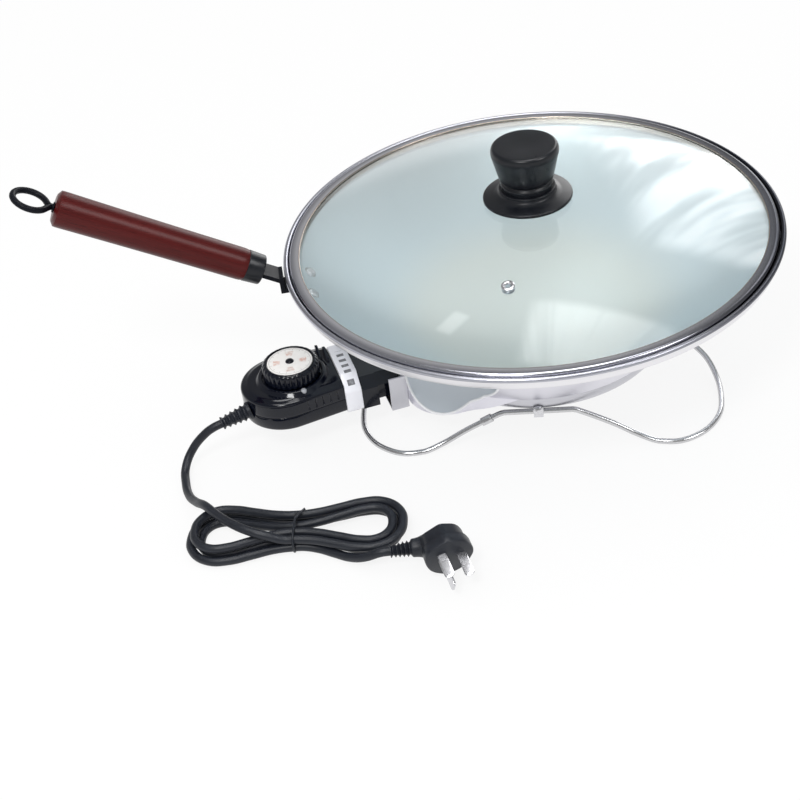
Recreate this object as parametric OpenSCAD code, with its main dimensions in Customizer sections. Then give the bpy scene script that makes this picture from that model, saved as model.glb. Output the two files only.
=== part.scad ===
// Electric wok: steel bowl on a wire stand, loose glass lid, wooden handle, plug-in heat controller.
// Millimetres, +Z up. The origin is on the bowl's axis, on the table that the stand rests on.
// The controller points along -X, and the handle stands a few degrees behind it.

/* [Bowl] */
// Outer radius of the rolled rim
rim_r = 172; // [168:1:180]
// Height of the rim above the table
rim_z = 115; // [112:1:122]
// Depth of the ledge that carries the lid, below the rim
ledge_drop = 8; // [7:0.5:9]
// Width of that ledge
ledge_w = 5.4; // [4:0.1:8]
// Height of the bowl's inside bottom above the table
bowl_floor_z = 38; // [36:1:42]
// Thickness of the bowl's sheet
bowl_wall = 1.2; // [0.8:0.1:1.6]
// Radius of the bead rolled along the rim
bead_r = 1.8; // [1.4:0.1:2.2]

/* [Lid] */
// Rise of the glass dome above the band
dome_rise = 27.5; // [22:0.5:34]
// Thickness of the glass
glass_t = 4; // [3:0.5:5]
// Width of the steel band on the glass
band_w = 7.4; // [6:0.1:10]
// Corner radius of the band
band_round = 2.6; // [1.5:0.1:3]
// Radius of the knob's top
knob_top_r = 23.3; // [20:0.1:26]
// Radius of the knob's foot
knob_foot_r = 18; // [16:0.5:18.5]
// Height of the knob above its collar
knob_h = 31; // [26:1:36]
// Radius of the flange under the knob
flange_r = 30.5; // [26:0.5:36]
// Radius of the collar on the flange
collar_r = 19.5; // [19:0.5:22]
// Radius of the knob screw
knob_screw_r = 3; // [2:0.5:4]
// Distance of the steam vent from the axis
vent_r = 96.5; // [60:0.5:130]
// Radius of the vent's barrel
vent_barrel_r = 2.9; // [2.5:0.1:3.5]

/* [Base] */
// Radius of the base shell at its lower edge
skirt_r = 95; // [93:1:99]
// Height of the base shell's lower edge
skirt_z = 40; // [38:1:43]
// Lean of the base shell's side from the vertical, in degrees
skirt_lean = 35.5; // [30:0.5:38]
// Thickness of the base's sheet
sheet_t = 0.8; // [0.6:0.1:1.2]
// Height of the bottom cover above the table
cover_z = 24; // [23.5:0.5:26]
// Reach of the terminal lobe from the axis
lobe_reach = 108; // [105:1:114]
// Half width of the terminal lobe
lobe_half = 62; // [56:1:66]
// Corner radius of the terminal lobe
lobe_corner = 30; // [20:1:38]
// Radius of the heating plate
plate_r = 71; // [66:1:72]
// Thickness of the heating plate
plate_t = 5; // [4:0.5:6]
// Radius of the heating element's ring
element_ring_r = 58; // [52:1:62]
// Radius of the heating element's sheath
element_r = 4; // [3:0.5:4.5]

/* [Socket] */
// Height of the terminal pins above the table
pin_z = 35; // [34:0.5:36]
// Half the distance between the terminal pins
pin_half = 10; // [10:0.5:12]
// Radius of a terminal pin
pin_r = 2.4; // [2:0.1:2.6]
// Length of a terminal pin outside the base shell
pin_out = 14; // [11:0.5:16]
// Half width of the socket guard, inside
guard_half = 31; // [29:0.5:34]
// Depth of the socket guard
guard_depth = 12.5; // [10:0.5:14]
// Height of the guard's underside above the table
guard_low = 19; // [18.5:0.5:20]
// Height of the guard's cheeks
guard_h = 26.5; // [24:0.5:28]
// Thickness of the guard's sheet
guard_t = 1.2; // [1:0.1:1.6]

/* [Stand] */
// Radius of the stand's wire
wire_r = 2; // [1.8:0.1:2.2]
// Half the stand's length between its outer bends
stand_half_x = 126; // [120:1:132]
// Half the stand's width between its feet
stand_half_y = 99; // [96:1:104]
// Distance of the screwed saddles from the axis
saddle_r = 89; // [88:0.5:90]
// Turn of the stand about the axis, in degrees
stand_turn = 20.5; // [18:0.5:23]
// Width of a hook clip
clip_w = 6.5; // [5:0.5:9]
// Thickness of a hook clip
clip_t = 1; // [0.8:0.1:1.2]
// Radius of a stand screw
stand_screw_r = 1.2; // [1:0.1:1.4]

/* [Handle] */
// Direction of the handle, degrees round from +X
handle_az = 170; // [168:1:175]
// Rise of the handle, in degrees
handle_rise = 30; // [27:1:34]
// Distance of the grip's near end outside the rim
grip_gap = 25; // [22:0.5:32]
// Depth of the bracket's knee below the rim
knee_drop = 6; // [5:0.5:7]
// Length of the grip
grip_l = 133; // [112:1:150]
// Radius of the grip at its near end
grip_near_r = 11.2; // [10:0.1:12]
// Radius of the grip at its far end
grip_far_r = 12.4; // [11:0.1:13.5]
// Length of the ferrule
ferrule_l = 12; // [10:0.5:15]
// Width of the bracket's arm
arm_w = 16; // [12:0.5:16]
// Thickness of the bracket
arm_t = 3; // [2.5:0.25:3.5]
// Distance between the two rivets
rivet_gap = 27; // [20:1:34]
// Radius of a rivet's shank
rivet_r = 2; // [1.5:0.25:2.5]
// Radius of the tie rod and its eye's wire
rod_r = 2.2; // [1.8:0.1:2.4]
// Mean radius of the hanging eye
eye_r = 11.5; // [9:0.5:14]

/* [Controller] */
// Distance of the dial's centre from the bowl's axis
dial_reach = 181; // [178:1:186]
// Radius of the round tail
tail_r = 30; // [28:0.5:33]
// Half width of the body at the collar band
neck_half = 26; // [24:0.5:27]
// Height of the underside above the table
ctl_z = 24; // [23.5:0.5:25]
// Height of the body
ctl_h = 25; // [24:0.5:27]
// Height of the lower shell
lower_h = 11; // [10:0.5:12]
// Width of the chamfer round the top
top_chamfer = 5; // [3:0.5:6]
// Wall of the two shells
ctl_wall = 2.2; // [1.8:0.1:2.6]
// Width of the white collar band
collar_w = 12; // [10:0.5:14]
// How far the collar band stands out
collar_proud = 1.6; // [1:0.1:2]
// Radius of the dial's ring, without its ribs
dial_r = 19; // [17:0.5:20]
// Height of the dial
dial_h = 10.5; // [9:0.5:13]
// Number of ribs round the dial
dial_ribs = 30; // [24:1:36]
// Radius of the dial's white face
face_r = 16; // [14:0.5:16.5]
// Radius of the cap in the middle of the dial
hub_r = 3; // [2.5:0.25:4]
// Radius of the dial's spindle
spindle_r = 3; // [2.5:0.25:3.5]
// Radius of the temperature probe
probe_r = 3.4; // [3:0.1:3.6]
// Length of the probe from the nose
probe_l = 44; // [38:1:48]

/* [Cord] */
// Diameter of the mains cord
cord_d = 6; // [5.6:0.1:6.2]
// Length of the ribbed cord boot
boot_l = 22; // [21:1:26]
// Radius of the plug's body
plug_r = 18; // [17:0.5:19]
// Length of the plug's pins
plug_pin_l = 17; // [15:0.5:20]

/* [Hidden] */
$fn = 96;

// Clearances: seat between pieces of one body, fit of a shaft in its hole, gap between moving bodies
seat = 0.1;
fit = 0.05;
run_gap = 0.3;
far = 400;

// Bowl: a spherical cap from the floor to the ledge, then a ledge and an upright rim
upright_r = rim_r - 2 * bead_r;
mouth_r = upright_r - ledge_w;
ledge_z = rim_z - ledge_drop;
bowl_d = ledge_z - bowl_floor_z;
bowl_in = (mouth_r * mouth_r + bowl_d * bowl_d) / (2 * bowl_d);
bowl_out = bowl_in + bowl_wall;
bowl_cz = bowl_floor_z + bowl_in;

// Lid: dome sphere through the band's inner edge, level with the rim
lid_r = upright_r - 2 * run_gap;
band_in = lid_r - band_w;
dome_out = (band_in * band_in + dome_rise * dome_rise) / (2 * dome_rise);
dome_cz = rim_z + dome_rise - dome_out;
glass_edge = lid_r - 2.4;
dome_top = rim_z + dome_rise;
collar_top = dome_top + 7.5;
knob_top = collar_top + knob_h;
vent_az = 241.6;
vent_tilt = asin(vent_r / dome_out);
vent_flange_r = vent_barrel_r + 1.6;
washer_t = 1.5;
washer_z = dome_top - glass_t - washer_t - 2 * seat;

// Base: places of the plate, the element and the cover
cover_r = skirt_r - sheet_t - 0.4;
cover_round = 16;
cover_flat = cover_r - cover_round;
cover_notch_z = cover_z + 3;
cover_notch_y = 74;
lobe_z = cover_z + 0.6;
root_x = -72;
root_slope = 29;
dish_at = [12 - lobe_reach, lobe_half + 3.6, ledge_z - 25.3];
dish_r = 47.4;
dish_tall = 1.2;
plate_out = bowl_out + seat;
plate_under = plate_out + plate_t;
elbow = 0.3;
element_roof = bowl_cz - sqrt(plate_under * plate_under - element_ring_r * element_ring_r);
element_z = element_roof - element_r - elbow - seat;
boss_r = 8;
cover_screw_r = 2.5;
lobe_wall_x = -lobe_reach;
insulator_r = 4.6;
insulator_out = 4;
leg_end_x = lobe_wall_x + 12;
well_in = probe_r + fit;
well_out = well_in + 0.9;
guard_face_x = lobe_wall_x - seat;
guard_screw_y = 25;
guard_screw_z = pin_z + 4;
guard_screw_r = 1.5;

// Stand: saddles under the cover's rounded edge, side pinches just outside it
saddle_z = cover_z + cover_round - sqrt(pow(cover_round + wire_r + seat, 2) - pow(saddle_r - cover_flat, 2));
pinch_x = 98;
pinch_z = cover_z - wire_r - 1.6;
clip_in = wire_r + seat;
clip_x = saddle_r + wire_r + 2 * seat;
clip_top = cover_z + cover_round - sqrt(pow(cover_round, 2) - pow(clip_x - cover_flat, 2)) - seat;
clip_screw_z = saddle_z + wire_r + stand_screw_r + 2 * seat;
wire_steps = 2;

// Handle: the bracket's knee just outside the rim, and the grip in line with it
knee_gap = 1;
knee_r = rim_r + knee_gap;
grip_reach = rim_r + grip_gap;
grip_z = rim_z - knee_drop + (grip_reach - knee_r) * tan(handle_rise);

// The rivets' place on the bowl's wall, and the flange round them
rivet_r_bowl = mouth_r - 8;
rivet_pitch = asin(rivet_r_bowl / bowl_out);
rivet_step = 2 * asin(rivet_gap / 2 / rivet_r_bowl);
flange_w = rivet_gap + 14;
flange_h = 16;
flange_t = 2.2;
slot_depth = 6;

// Controller: heights and the plan of the body
tail_reach = dial_reach + 7;
split_z = ctl_z + lower_h;
ctl_top = ctl_z + ctl_h;
dial_z = ctl_top + 0.6;
neck_x = -dial_reach + 30;
band_end_x = neck_x + collar_w;
nose_end_x = guard_face_x - guard_t - 1.5;
nose_half = neck_half - 1;
nose_step = 12;
nose_low = guard_low + guard_t + 1.5;
nose_top = guard_low + guard_h - 1;
sleeve_out = pin_r + fit + 1;
lamp_r = 2;
lamp_angle = -83;
lamp_reach = dial_r + 4.2;
spindle_low = ctl_z + ctl_wall + 6;
fin = [2, 13, 5];
fin_gap = 4.5;
fin_y = 8;
housing_screw_r = 1.4;

// Cord: exit of the boot, slanting down from the tail
boot_slope = 13;
boot_r = 6.4;
boot_root = [-tail_reach - tail_r + 3, -9, ctl_z + 11];
boot_axis = [-cos(boot_slope), 0, -sin(boot_slope)];
cord_start = boot_root + boot_l * boot_axis;
cord_r = cord_d / 2;

// Hank: two layers of dog-bone loops, folded along a slanting line on the table
hank_at = [-212, -111, 0];
hank_turn = -20;
hank_loops = 3;
hank_half_l = 62;
hank_waist = 3;
hank_bulge = 31;
hank_step = 7;
hank_lift = 1;
layer_z = [3.2, 9.8];
loop_rings = 24;

// Plug: a flat right-angle plug leaning forward on its rim, with the cord coming in at its back
plug_turn = 0;
plug_tilt = 12;
plug_face = 8;
plug_at = [-131.4, -180.7, plug_r * cos(plug_tilt) + plug_face * sin(plug_tilt) + 0.2];
// Corners of the plug's kite-shaped outline: direction from its middle, and how far each stays inside plug_r
plug_corners = [[-93, 0], [-52, 0.5], [2, 0], [45, 1.5], [90, 0], [145, 0.5], [178, 2.5], [-140, 2.5]];
plug_corner_r = 4;
plug_back_inset = 2;
plug_boot_l = 14;
plug_boot_at = [-148.6, -165.1, 13];
cord_turn = -12;

// Hand-picked points of the two free stretches of cord, between the boot, the hank and the plug
cord_way = [[-250, -8, 24], [-261, -8.5, 13.5], [-268, -15, 6], [-271, -28, 3.3], [-271.5, -43, 4],
    [-268.5, -59, 9.5], [-264, -74, 16.6], [-258.5, -88, 17.8], [-251, -101, 17.8], [-242, -112, 17.4],
    [-232, -118.5, 15]];
tail_way = [[-202, -131, 3.4], [-194, -139, 3.4], [-186, -148, 4.5], [-178, -156, 8.4]];

// Vectors and curves shared by the bent wire and the cords
function unit(v) = v / norm(v);
function spun(p, a) = [p.x * cos(a) - p.y * sin(a), p.x * sin(a) + p.y * cos(a), p.z];
function spline_at(a, b, c, d, t) =
    0.5 * (2 * b + (c - a) * t + (2 * a - 5 * b + 4 * c - d) * t * t + (3 * b - a - 3 * c + d) * t * t * t);
function at(list, i, closed) =
    closed ? list[(i + len(list)) % len(list)] : list[max(0, min(len(list) - 1, i))];
function bends(list, steps, first, last, closed) = [for (i = [first : last]) for (k = [0 : steps - 1])
    let (a = at(list, i - 1, closed), b = at(list, i, closed), c = at(list, i + 1, closed))
    spline_at(a, b, c, at(list, i + 2, closed), k / steps)];
function smooth_ring(list, steps) = bends(list, steps, 0, len(list) - 1, true);
function smooth_line(list, steps) =
    concat([list[0]], bends(list, steps, 1, len(list) - 3, false),
        [list[len(list) - 2], list[len(list) - 1]]);
function heading(list, i, closed) = unit(at(list, i + 1, closed) - at(list, i - 1, closed));

// A round tube swept along a list of points, open with flat ends or closed into a ring
module tube(path, r, sides, closed = false) {
    n = len(path);
    rings = [for (i = [0 : n - 1])
        let (t = heading(path, i, closed), side = unit(cross(t, [0, 0, 1])), up = cross(side, t))
        for (k = [0 : sides - 1])
            let (a = 360 * k / sides - 90)
            path[i] + r * (cos(a) * side + sin(a) * up)];
    walls = [for (i = [0 : n - (closed ? 1 : 2)]) for (k = [0 : sides - 1])
        let (a = i * sides + k, b = i * sides + (k + 1) % sides, j = ((i + 1) % n) * sides)
        each [[a, b, j + k], [b, j + (k + 1) % sides, j + k]]];
    caps = closed ? [] : [for (k = [1 : sides - 2]) each
        [[0, k + 1, k], [(n - 1) * sides, (n - 1) * sides + k, (n - 1) * sides + k + 1]]];
    polyhedron(rings, concat(walls, caps), convexity = 10);
}

// A rectangle of a turned section, between two radii and two heights
module between(r0, r1, z0, z1) {
    translate([r0, z0]) square([r1 - r0, z1 - z0]);
}

// LID

// Section of the glass dome, thickened by some clearance
module glass_section(extra, edge) {
    intersection() {
        translate([0, dome_cz]) difference() {
            circle(r = dome_out + extra, $fn = 360);
            circle(r = dome_out - glass_t - extra, $fn = 360);
        }
        between(0, edge, rim_z - 20, dome_top + 10);
    }
}

// Places a child on the glass at the vent, with +Z along the outward normal
module at_vent() {
    rotate([0, 0, vent_az]) translate([0, 0, dome_cz]) rotate([0, vent_tilt, 0]) translate([0, 0, dome_out])
        children();
}

module lid_glass() {
    color([0.75, 0.86, 0.9, 0.45]) difference() {
        rotate_extrude() glass_section(0, glass_edge);
        translate([0, 0, dome_cz]) cylinder(r = knob_screw_r + 1, h = dome_out + 10);
        at_vent() cylinder(r = vent_barrel_r + seat, h = 30, center = true);
    }
}

module lid_band() {
    low = ledge_z + run_gap;
    high = rim_z + 0.9;
    color("silver") rotate_extrude() difference() {
        union() {
            between(band_in, lid_r - band_round, low, high);
            between(band_in, lid_r, low + band_round, high - band_round);
            for (z = [low + band_round, high - band_round])
                translate([lid_r - band_round, z]) circle(r = band_round);
        }
        glass_section(seat, glass_edge + seat);
    }
}

module steam_vent() {
    color("gainsboro") at_vent() rotate_extrude() difference() {
        union() {
            between(0, vent_barrel_r, -glass_t - 1.1, 1.1);
            between(0, vent_flange_r, seat, 1.1);
            between(0, vent_flange_r, -glass_t - 1.1, -glass_t - seat);
        }
        between(-1, vent_barrel_r - 1, -glass_t - 2, 2);
    }
}

module knob_flange() {
    edge_z = dome_cz + sqrt(dome_out * dome_out - flange_r * flange_r) + 2.3;
    color("#161618") rotate_extrude() difference() {
        polygon([[0, dome_top - 5], [flange_r, dome_top - 5], [flange_r, edge_z - 0.6],
            [flange_r - 0.6, edge_z], [collar_r + 3, edge_z + 2], [collar_r, edge_z + 3.4],
            [collar_r, collar_top], [0, collar_top]]);
        translate([0, dome_cz]) circle(r = dome_out + seat, $fn = 360);
        between(-1, knob_screw_r + fit, dome_top - 6, collar_top + 1);
    }
}

module lid_knob() {
    groove_z = collar_top + 5;
    edge = 2;
    color("#131315") rotate_extrude() difference() {
        union() {
            polygon([[0, collar_top], [knob_foot_r, collar_top], [knob_foot_r, groove_z - 1.2],
                [knob_foot_r - 1.4, groove_z], [knob_foot_r - 1.4, groove_z + 1.2],
                [knob_foot_r + 0.6, groove_z + 2.4], [knob_top_r, knob_top - edge - 2],
                [knob_top_r, knob_top - edge], [knob_top_r - edge, knob_top], [0, knob_top]]);
            translate([knob_top_r - edge, knob_top - edge]) circle(r = edge);
        }
        between(-1, knob_screw_r + fit, collar_top - 1, collar_top + 14);
        between(-far, 0, 0, far);
    }
}

module knob_washer() {
    color("dimgray") translate([0, 0, washer_z]) difference() {
        cylinder(r = knob_screw_r + 6, h = washer_t);
        translate([0, 0, -1]) cylinder(r = knob_screw_r + fit, h = washer_t + 2);
    }
}

module knob_screw() {
    head_h = 3.2;
    head_z = washer_z - head_h;
    color("gainsboro") {
        translate([0, 0, head_z]) difference() {
            cylinder(r = knob_screw_r + 2.6, h = head_h);
            translate([0, 0, -1]) cylinder(r = 2, h = 2.8, $fn = 6);
        }
        translate([0, 0, washer_z - 0.5]) cylinder(r = knob_screw_r, h = collar_top + 12 - washer_z);
    }
}

// BOWL AND BASE

// Ball that fills the bowl out to its outer surface, grown by a clearance
module bowl_void(extra) {
    translate([0, 0, bowl_cz]) sphere(r = bowl_out + extra, $fn = 180);
}

// Places a child on the bowl's wall at a rivet, with +Z along the outward normal
module at_rivet(side) {
    rotate([0, 0, handle_az + side * rivet_step / 2]) translate([0, 0, bowl_cz])
        rotate([0, 180 - rivet_pitch, 0]) translate([0, 0, bowl_out]) children();
}

module wok_bowl() {
    color("lightsteelblue") difference() {
        rotate_extrude() {
            intersection() {
                translate([0, bowl_cz]) difference() {
                    circle(r = bowl_out, $fn = 360);
                    circle(r = bowl_in, $fn = 360);
                }
                between(0, far, 0, ledge_z);
            }
            between(mouth_r, upright_r + bowl_wall, ledge_z - bowl_wall, ledge_z);
            between(upright_r, upright_r + bowl_wall, ledge_z - bowl_wall, rim_z - bead_r);
            translate([rim_r - bead_r, rim_z - bead_r]) circle(r = bead_r);
        }
        for (side = [-1, 1]) at_rivet(side) cylinder(r = rivet_r + fit, h = 20, center = true);
    }
}

module heating_plate() {
    boss_low = cover_z + sheet_t;
    color("darkgray") difference() {
        union() {
            rotate_extrude() intersection() {
                translate([0, bowl_cz]) difference() {
                    circle(r = plate_under, $fn = 360);
                    circle(r = plate_out, $fn = 360);
                }
                between(0, plate_r, 0, bowl_cz);
            }
            translate([0, 0, boss_low]) cylinder(r = boss_r, h = bowl_cz - plate_under + 2 - boss_low);
        }
        translate([0, 0, boss_low - 1]) cylinder(r = cover_screw_r + fit, h = 9);
    }
}

module heating_element() {
    gap = asin(pin_half / element_ring_r);
    ring_end_x = -element_ring_r * cos(gap);
    leg = [leg_end_x - ring_end_x, 0, pin_z - element_z];
    color("slategray") {
        translate([0, 0, element_z]) rotate([0, 0, 180 + gap]) rotate_extrude(angle = 360 - 2 * gap)
            translate([element_ring_r, 0]) circle(r = element_r);
        for (side = [-1, 1]) translate([ring_end_x, side * pin_half, element_z]) {
            sphere(r = element_r + elbow);
            rotate([0, acos(leg.z / norm(leg)), 180]) cylinder(r = element_r, h = norm(leg));
        }
    }
}

module terminal_pins() {
    color("gainsboro") for (side = [-1, 1]) translate([lobe_wall_x - pin_out, side * pin_half, pin_z]) {
        rotate([0, 90, 0]) cylinder(r = pin_r, h = pin_out + 11);
        sphere(r = pin_r);
    }
}

module terminal_insulators() {
    color("ivory") for (side = [-1, 1]) translate([lobe_wall_x, side * pin_half, pin_z]) rotate([0, 90, 0])
        difference() {
            union() {
                translate([0, 0, -insulator_out]) cylinder(r = insulator_r, h = insulator_out + 8);
                translate([0, 0, sheet_t + seat]) cylinder(r = insulator_r + 0.8, h = 4);
            }
            translate([0, 0, -insulator_out - 1]) cylinder(r = pin_r + fit, h = insulator_out + 12);
        }
}

module probe_well() {
    well_x = lobe_wall_x + sheet_t + seat;
    well_l = probe_l - (well_x - nose_end_x) + 4;
    color("burlywood") difference() {
        union() {
            translate([well_x, 0, pin_z]) rotate([0, 90, 0]) cylinder(r = well_out, h = well_l);
            translate([well_x + well_l - 14, -2, pin_z]) cube([12, 4, 20]);
        }
        translate([well_x - 1, 0, pin_z]) rotate([0, 90, 0]) cylinder(r = well_in, h = well_l - 1);
        translate([0, 0, bowl_cz]) sphere(r = plate_under + seat, $fn = 180);
    }
}

// Plan of the terminal lobe, drawn in by an inset
module lobe_plan(inset) {
    r = lobe_corner - inset;
    flat = lobe_half - lobe_corner;
    for (side = [-1, 1]) translate([-lobe_reach + lobe_corner, side * flat]) circle(r = r);
    translate([-lobe_reach + inset, -flat]) square([lobe_reach, 2 * flat]);
    translate([-lobe_reach + lobe_corner, -lobe_half + inset])
        square([lobe_reach - lobe_corner, 2 * (lobe_half - inset)]);
}

// Hollows pressed into both shoulders of the lobe, down to a low lip
module dishes(extra) {
    for (side = [-1, 1]) translate([dish_at.x, side * dish_at.y, dish_at.z]) scale([1, 1, dish_tall])
        sphere(r = dish_r + extra);
}

// Solid inside the base shell's leaning side, drawn in by an inset
module skirt_solid(inset) {
    h = rim_z - skirt_z;
    r = skirt_r - inset;
    translate([0, 0, skirt_z]) cylinder(r1 = r, r2 = r + h * tan(skirt_lean), h = h);
}

// Solid inside the base shell, drawn in by an inset: skirt, lobe and the root that leads one into the other
module base_solid(inset) {
    low = lobe_z + inset;
    difference() {
        union() {
            skirt_solid(inset);
            translate([0, 0, low]) linear_extrude(rim_z - low) lobe_plan(inset);
            intersection() {
                translate([0, 0, low]) cylinder(r = skirt_r - inset, h = skirt_z + 1 - low);
                translate([-far, -far, 0]) cube([far + root_x / 2, 2 * far, far]);
            }
        }
        dishes(inset);
    }
}

module base_shell() {
    hole_z = cover_z + cover_round - lobe_z - sheet_t - 2 * seat;
    hole_r = cover_flat + sqrt(cover_round * cover_round - hole_z * hole_z);
    color("gainsboro") difference() {
        base_solid(0);
        base_solid(sheet_t);
        cylinder(r = hole_r, h = lobe_z + sheet_t + seat);
        translate([0, 0, skirt_z - 1]) cylinder(r = skirt_r - sheet_t, h = 2);
        intersection() {
            translate([root_x, 0, lobe_z]) rotate([0, -root_slope, 0]) translate([0, -far, -far])
                cube([far, 2 * far, far]);
            translate([-far, -far, 0]) cube([2 * far, 2 * far, skirt_z]);
        }
        bowl_void(seat);
        translate([0, 0, ledge_z - 30]) cylinder(r = far, h = far);
        for (side = [-1, 1]) translate([lobe_wall_x, side * pin_half, pin_z]) rotate([0, 90, 0])
            cylinder(r = insulator_r + seat, h = 10, center = true);
        translate([lobe_wall_x, 0, pin_z]) rotate([0, 90, 0])
            cylinder(r = well_in + 0.4, h = 10, center = true);
        for (side = [-1, 1]) translate([lobe_wall_x, side * guard_screw_y, guard_screw_z]) rotate([0, 90, 0])
            cylinder(r = guard_screw_r + fit, h = 10, center = true);
    }
}

// Half section inside the cover drawn in by an inset: flat floor, rounded edge and upright wall
module cover_line(inset) {
    between(0, cover_flat, cover_z + inset, rim_z);
    between(0, cover_r - inset, cover_z + cover_round, rim_z);
    translate([cover_flat, cover_z + cover_round]) circle(r = cover_round - inset);
}

module bottom_cover() {
    color("#c9c9cd") difference() {
        rotate_extrude() intersection() {
            between(0, cover_r, cover_z, skirt_z + 2);
            difference() {
                cover_line(0);
                cover_line(sheet_t);
            }
        }
        cylinder(r = cover_screw_r + fit, h = far, center = true);
        translate([-far, -cover_notch_y, cover_notch_z]) cube([far, 2 * cover_notch_y, far]);
        for (back = [0, 180]) at_saddle(back) translate([cover_r, 0, clip_screw_z]) rotate([0, 90, 0])
            cylinder(r = stand_screw_r + fit, h = 20, center = true);
    }
}

module cover_screw() {
    color("silver") {
        translate([0, 0, cover_z - 2.2]) difference() {
            cylinder(r1 = cover_screw_r + 1, r2 = cover_screw_r + 2.5, h = 2.2);
            translate([-0.5, -far, -1]) cube([1, 2 * far, 1.8]);
        }
        translate([0, 0, cover_z - 0.5]) cylinder(r = cover_screw_r, h = 8);
    }
}

module socket_guard() {
    outer = guard_half + guard_t;
    color("#d5d3de") difference() {
        translate([guard_face_x - guard_depth, -outer, guard_low]) cube([guard_depth, 2 * outer, guard_h]);
        translate([guard_face_x - guard_depth - 1, -guard_half, guard_low + guard_t])
            cube([guard_depth + 1 - guard_t, 2 * guard_half, guard_h]);
        for (side = [-1, 1]) {
            translate([guard_face_x, side * pin_half, pin_z]) rotate([0, 90, 0])
                cylinder(r = insulator_r + seat, h = 10, center = true);
            translate([guard_face_x, side * guard_screw_y, guard_screw_z]) rotate([0, 90, 0])
                cylinder(r = guard_screw_r + fit, h = 10, center = true);
        }
        translate([guard_face_x, 0, pin_z]) rotate([0, 90, 0])
            cylinder(r = well_in + 0.4, h = 10, center = true);
    }
}

module guard_screws() {
    color("silver") for (side = [-1, 1])
        translate([guard_face_x - guard_t, side * guard_screw_y, guard_screw_z]) rotate([0, 90, 0]) {
            cylinder(r = guard_screw_r, h = guard_t + 4);
            translate([0, 0, -1.2]) cylinder(r = guard_screw_r + 1.2, h = 1.2);
        }
}

// STAND

// Places a child with +X pointing out through a screwed saddle
module at_saddle(back) {
    rotate([0, 0, 270 - stand_turn + back]) children();
}

// One quarter of the bent wire, from the middle of a saddle round a foot to the side pinch
function wire_quarter() = [
    [0, -saddle_r, saddle_z], [14, -saddle_r, saddle_z], [23, -saddle_r, saddle_z],
    [31, -saddle_r, saddle_z - 3.2], [50, -saddle_r - 2, saddle_z - 12], [66, -stand_half_y + 5, 5.8],
    [80, -stand_half_y + 1, wire_r], [94, -stand_half_y, wire_r],
    [stand_half_x - 19, -stand_half_y + 6, wire_r], [stand_half_x - 9, -stand_half_y + 16, wire_r],
    [stand_half_x - 2, -68, wire_r], [stand_half_x, -48, wire_r], [stand_half_x - 1.5, -31, 3.5],
    [stand_half_x - 7, -17, 9.5], [stand_half_x - 17, -7.5, 16.5], [pinch_x + 2, 0, pinch_z]];
function reversed(list) = [for (i = [len(list) - 1 : -1 : 0]) list[i]];
function wire_half() = concat(wire_quarter(),
    [for (p = reversed(wire_quarter())) if (p.y < 0 && p.x > 0) [p.x, -p.y, p.z]]);
function wire_way() = concat(wire_half(), [for (p = wire_half()) [-p.x, -p.y, p.z]]);
function level(p) = [p.x, p.y, max(wire_r, min(saddle_z, p.z))];

module stand_wire() {
    path = [for (p = smooth_ring(wire_way(), wire_steps)) level(p)];
    color("silver") rotate([0, 0, -stand_turn]) tube(path, wire_r, 12, true);
}

// The joint sleeve sits on the straight piece of wire between two neighbouring points of the bent path
module wire_sleeve() {
    long = 8;
    q = wire_quarter();
    upper = q[3];
    lower = spline_at(q[2], q[3], q[4], q[5], 1 / wire_steps);
    way = unit(lower - upper);
    color("lightgray") rotate([0, 0, -stand_turn]) mirror([1, 0, 0])
        translate((upper + lower) / 2 - long / 2 * way) rotate([0, acos(way.z), atan2(way.y, way.x)])
        difference() {
            cylinder(r = wire_r + 1, h = long);
            translate([0, 0, -1]) cylinder(r = wire_r + 0.25, h = long + 2);
        }
}

module stand_clips() {
    low = saddle_z - clip_in - clip_t;
    hook = clip_in + clip_t;
    color("gainsboro") for (back = [0, 180]) at_saddle(back) difference() {
        translate([0, clip_w / 2, 0]) rotate([90, 0, 0]) linear_extrude(clip_w) {
            intersection() {
                translate([saddle_r, saddle_z]) difference() {
                    circle(r = hook);
                    circle(r = clip_in);
                }
                translate([saddle_r - hook, low]) square([hook, hook - 0.5]);
            }
            translate([saddle_r, low]) square([clip_x + clip_t - saddle_r, clip_t]);
            translate([clip_x, low]) square([clip_t, clip_top - low]);
        }
        translate([clip_x, 0, clip_screw_z]) rotate([0, 90, 0])
            cylinder(r = stand_screw_r + fit, h = 10, center = true);
    }
}

module stand_screws() {
    dome_r = 3 * stand_screw_r + 0.4;
    neck = 0.4;
    color("silver") for (back = [0, 180]) at_saddle(back)
        translate([clip_x + clip_t, 0, clip_screw_z]) rotate([0, 90, 0]) rotate_extrude() {
            between(0, stand_screw_r, -8, neck + 0.5);
            intersection() {
                translate([0, neck - 1.4]) circle(r = dome_r);
                between(0, dome_r, neck, dome_r);
            }
        }
}

// HANDLE

// Places a child on the handle's axis, with +Z running out along it from the grip's near end
module on_handle() {
    rotate([0, 0, handle_az]) translate([grip_reach, 0, grip_z]) rotate([0, 90 - handle_rise, 0]) children();
}

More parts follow.
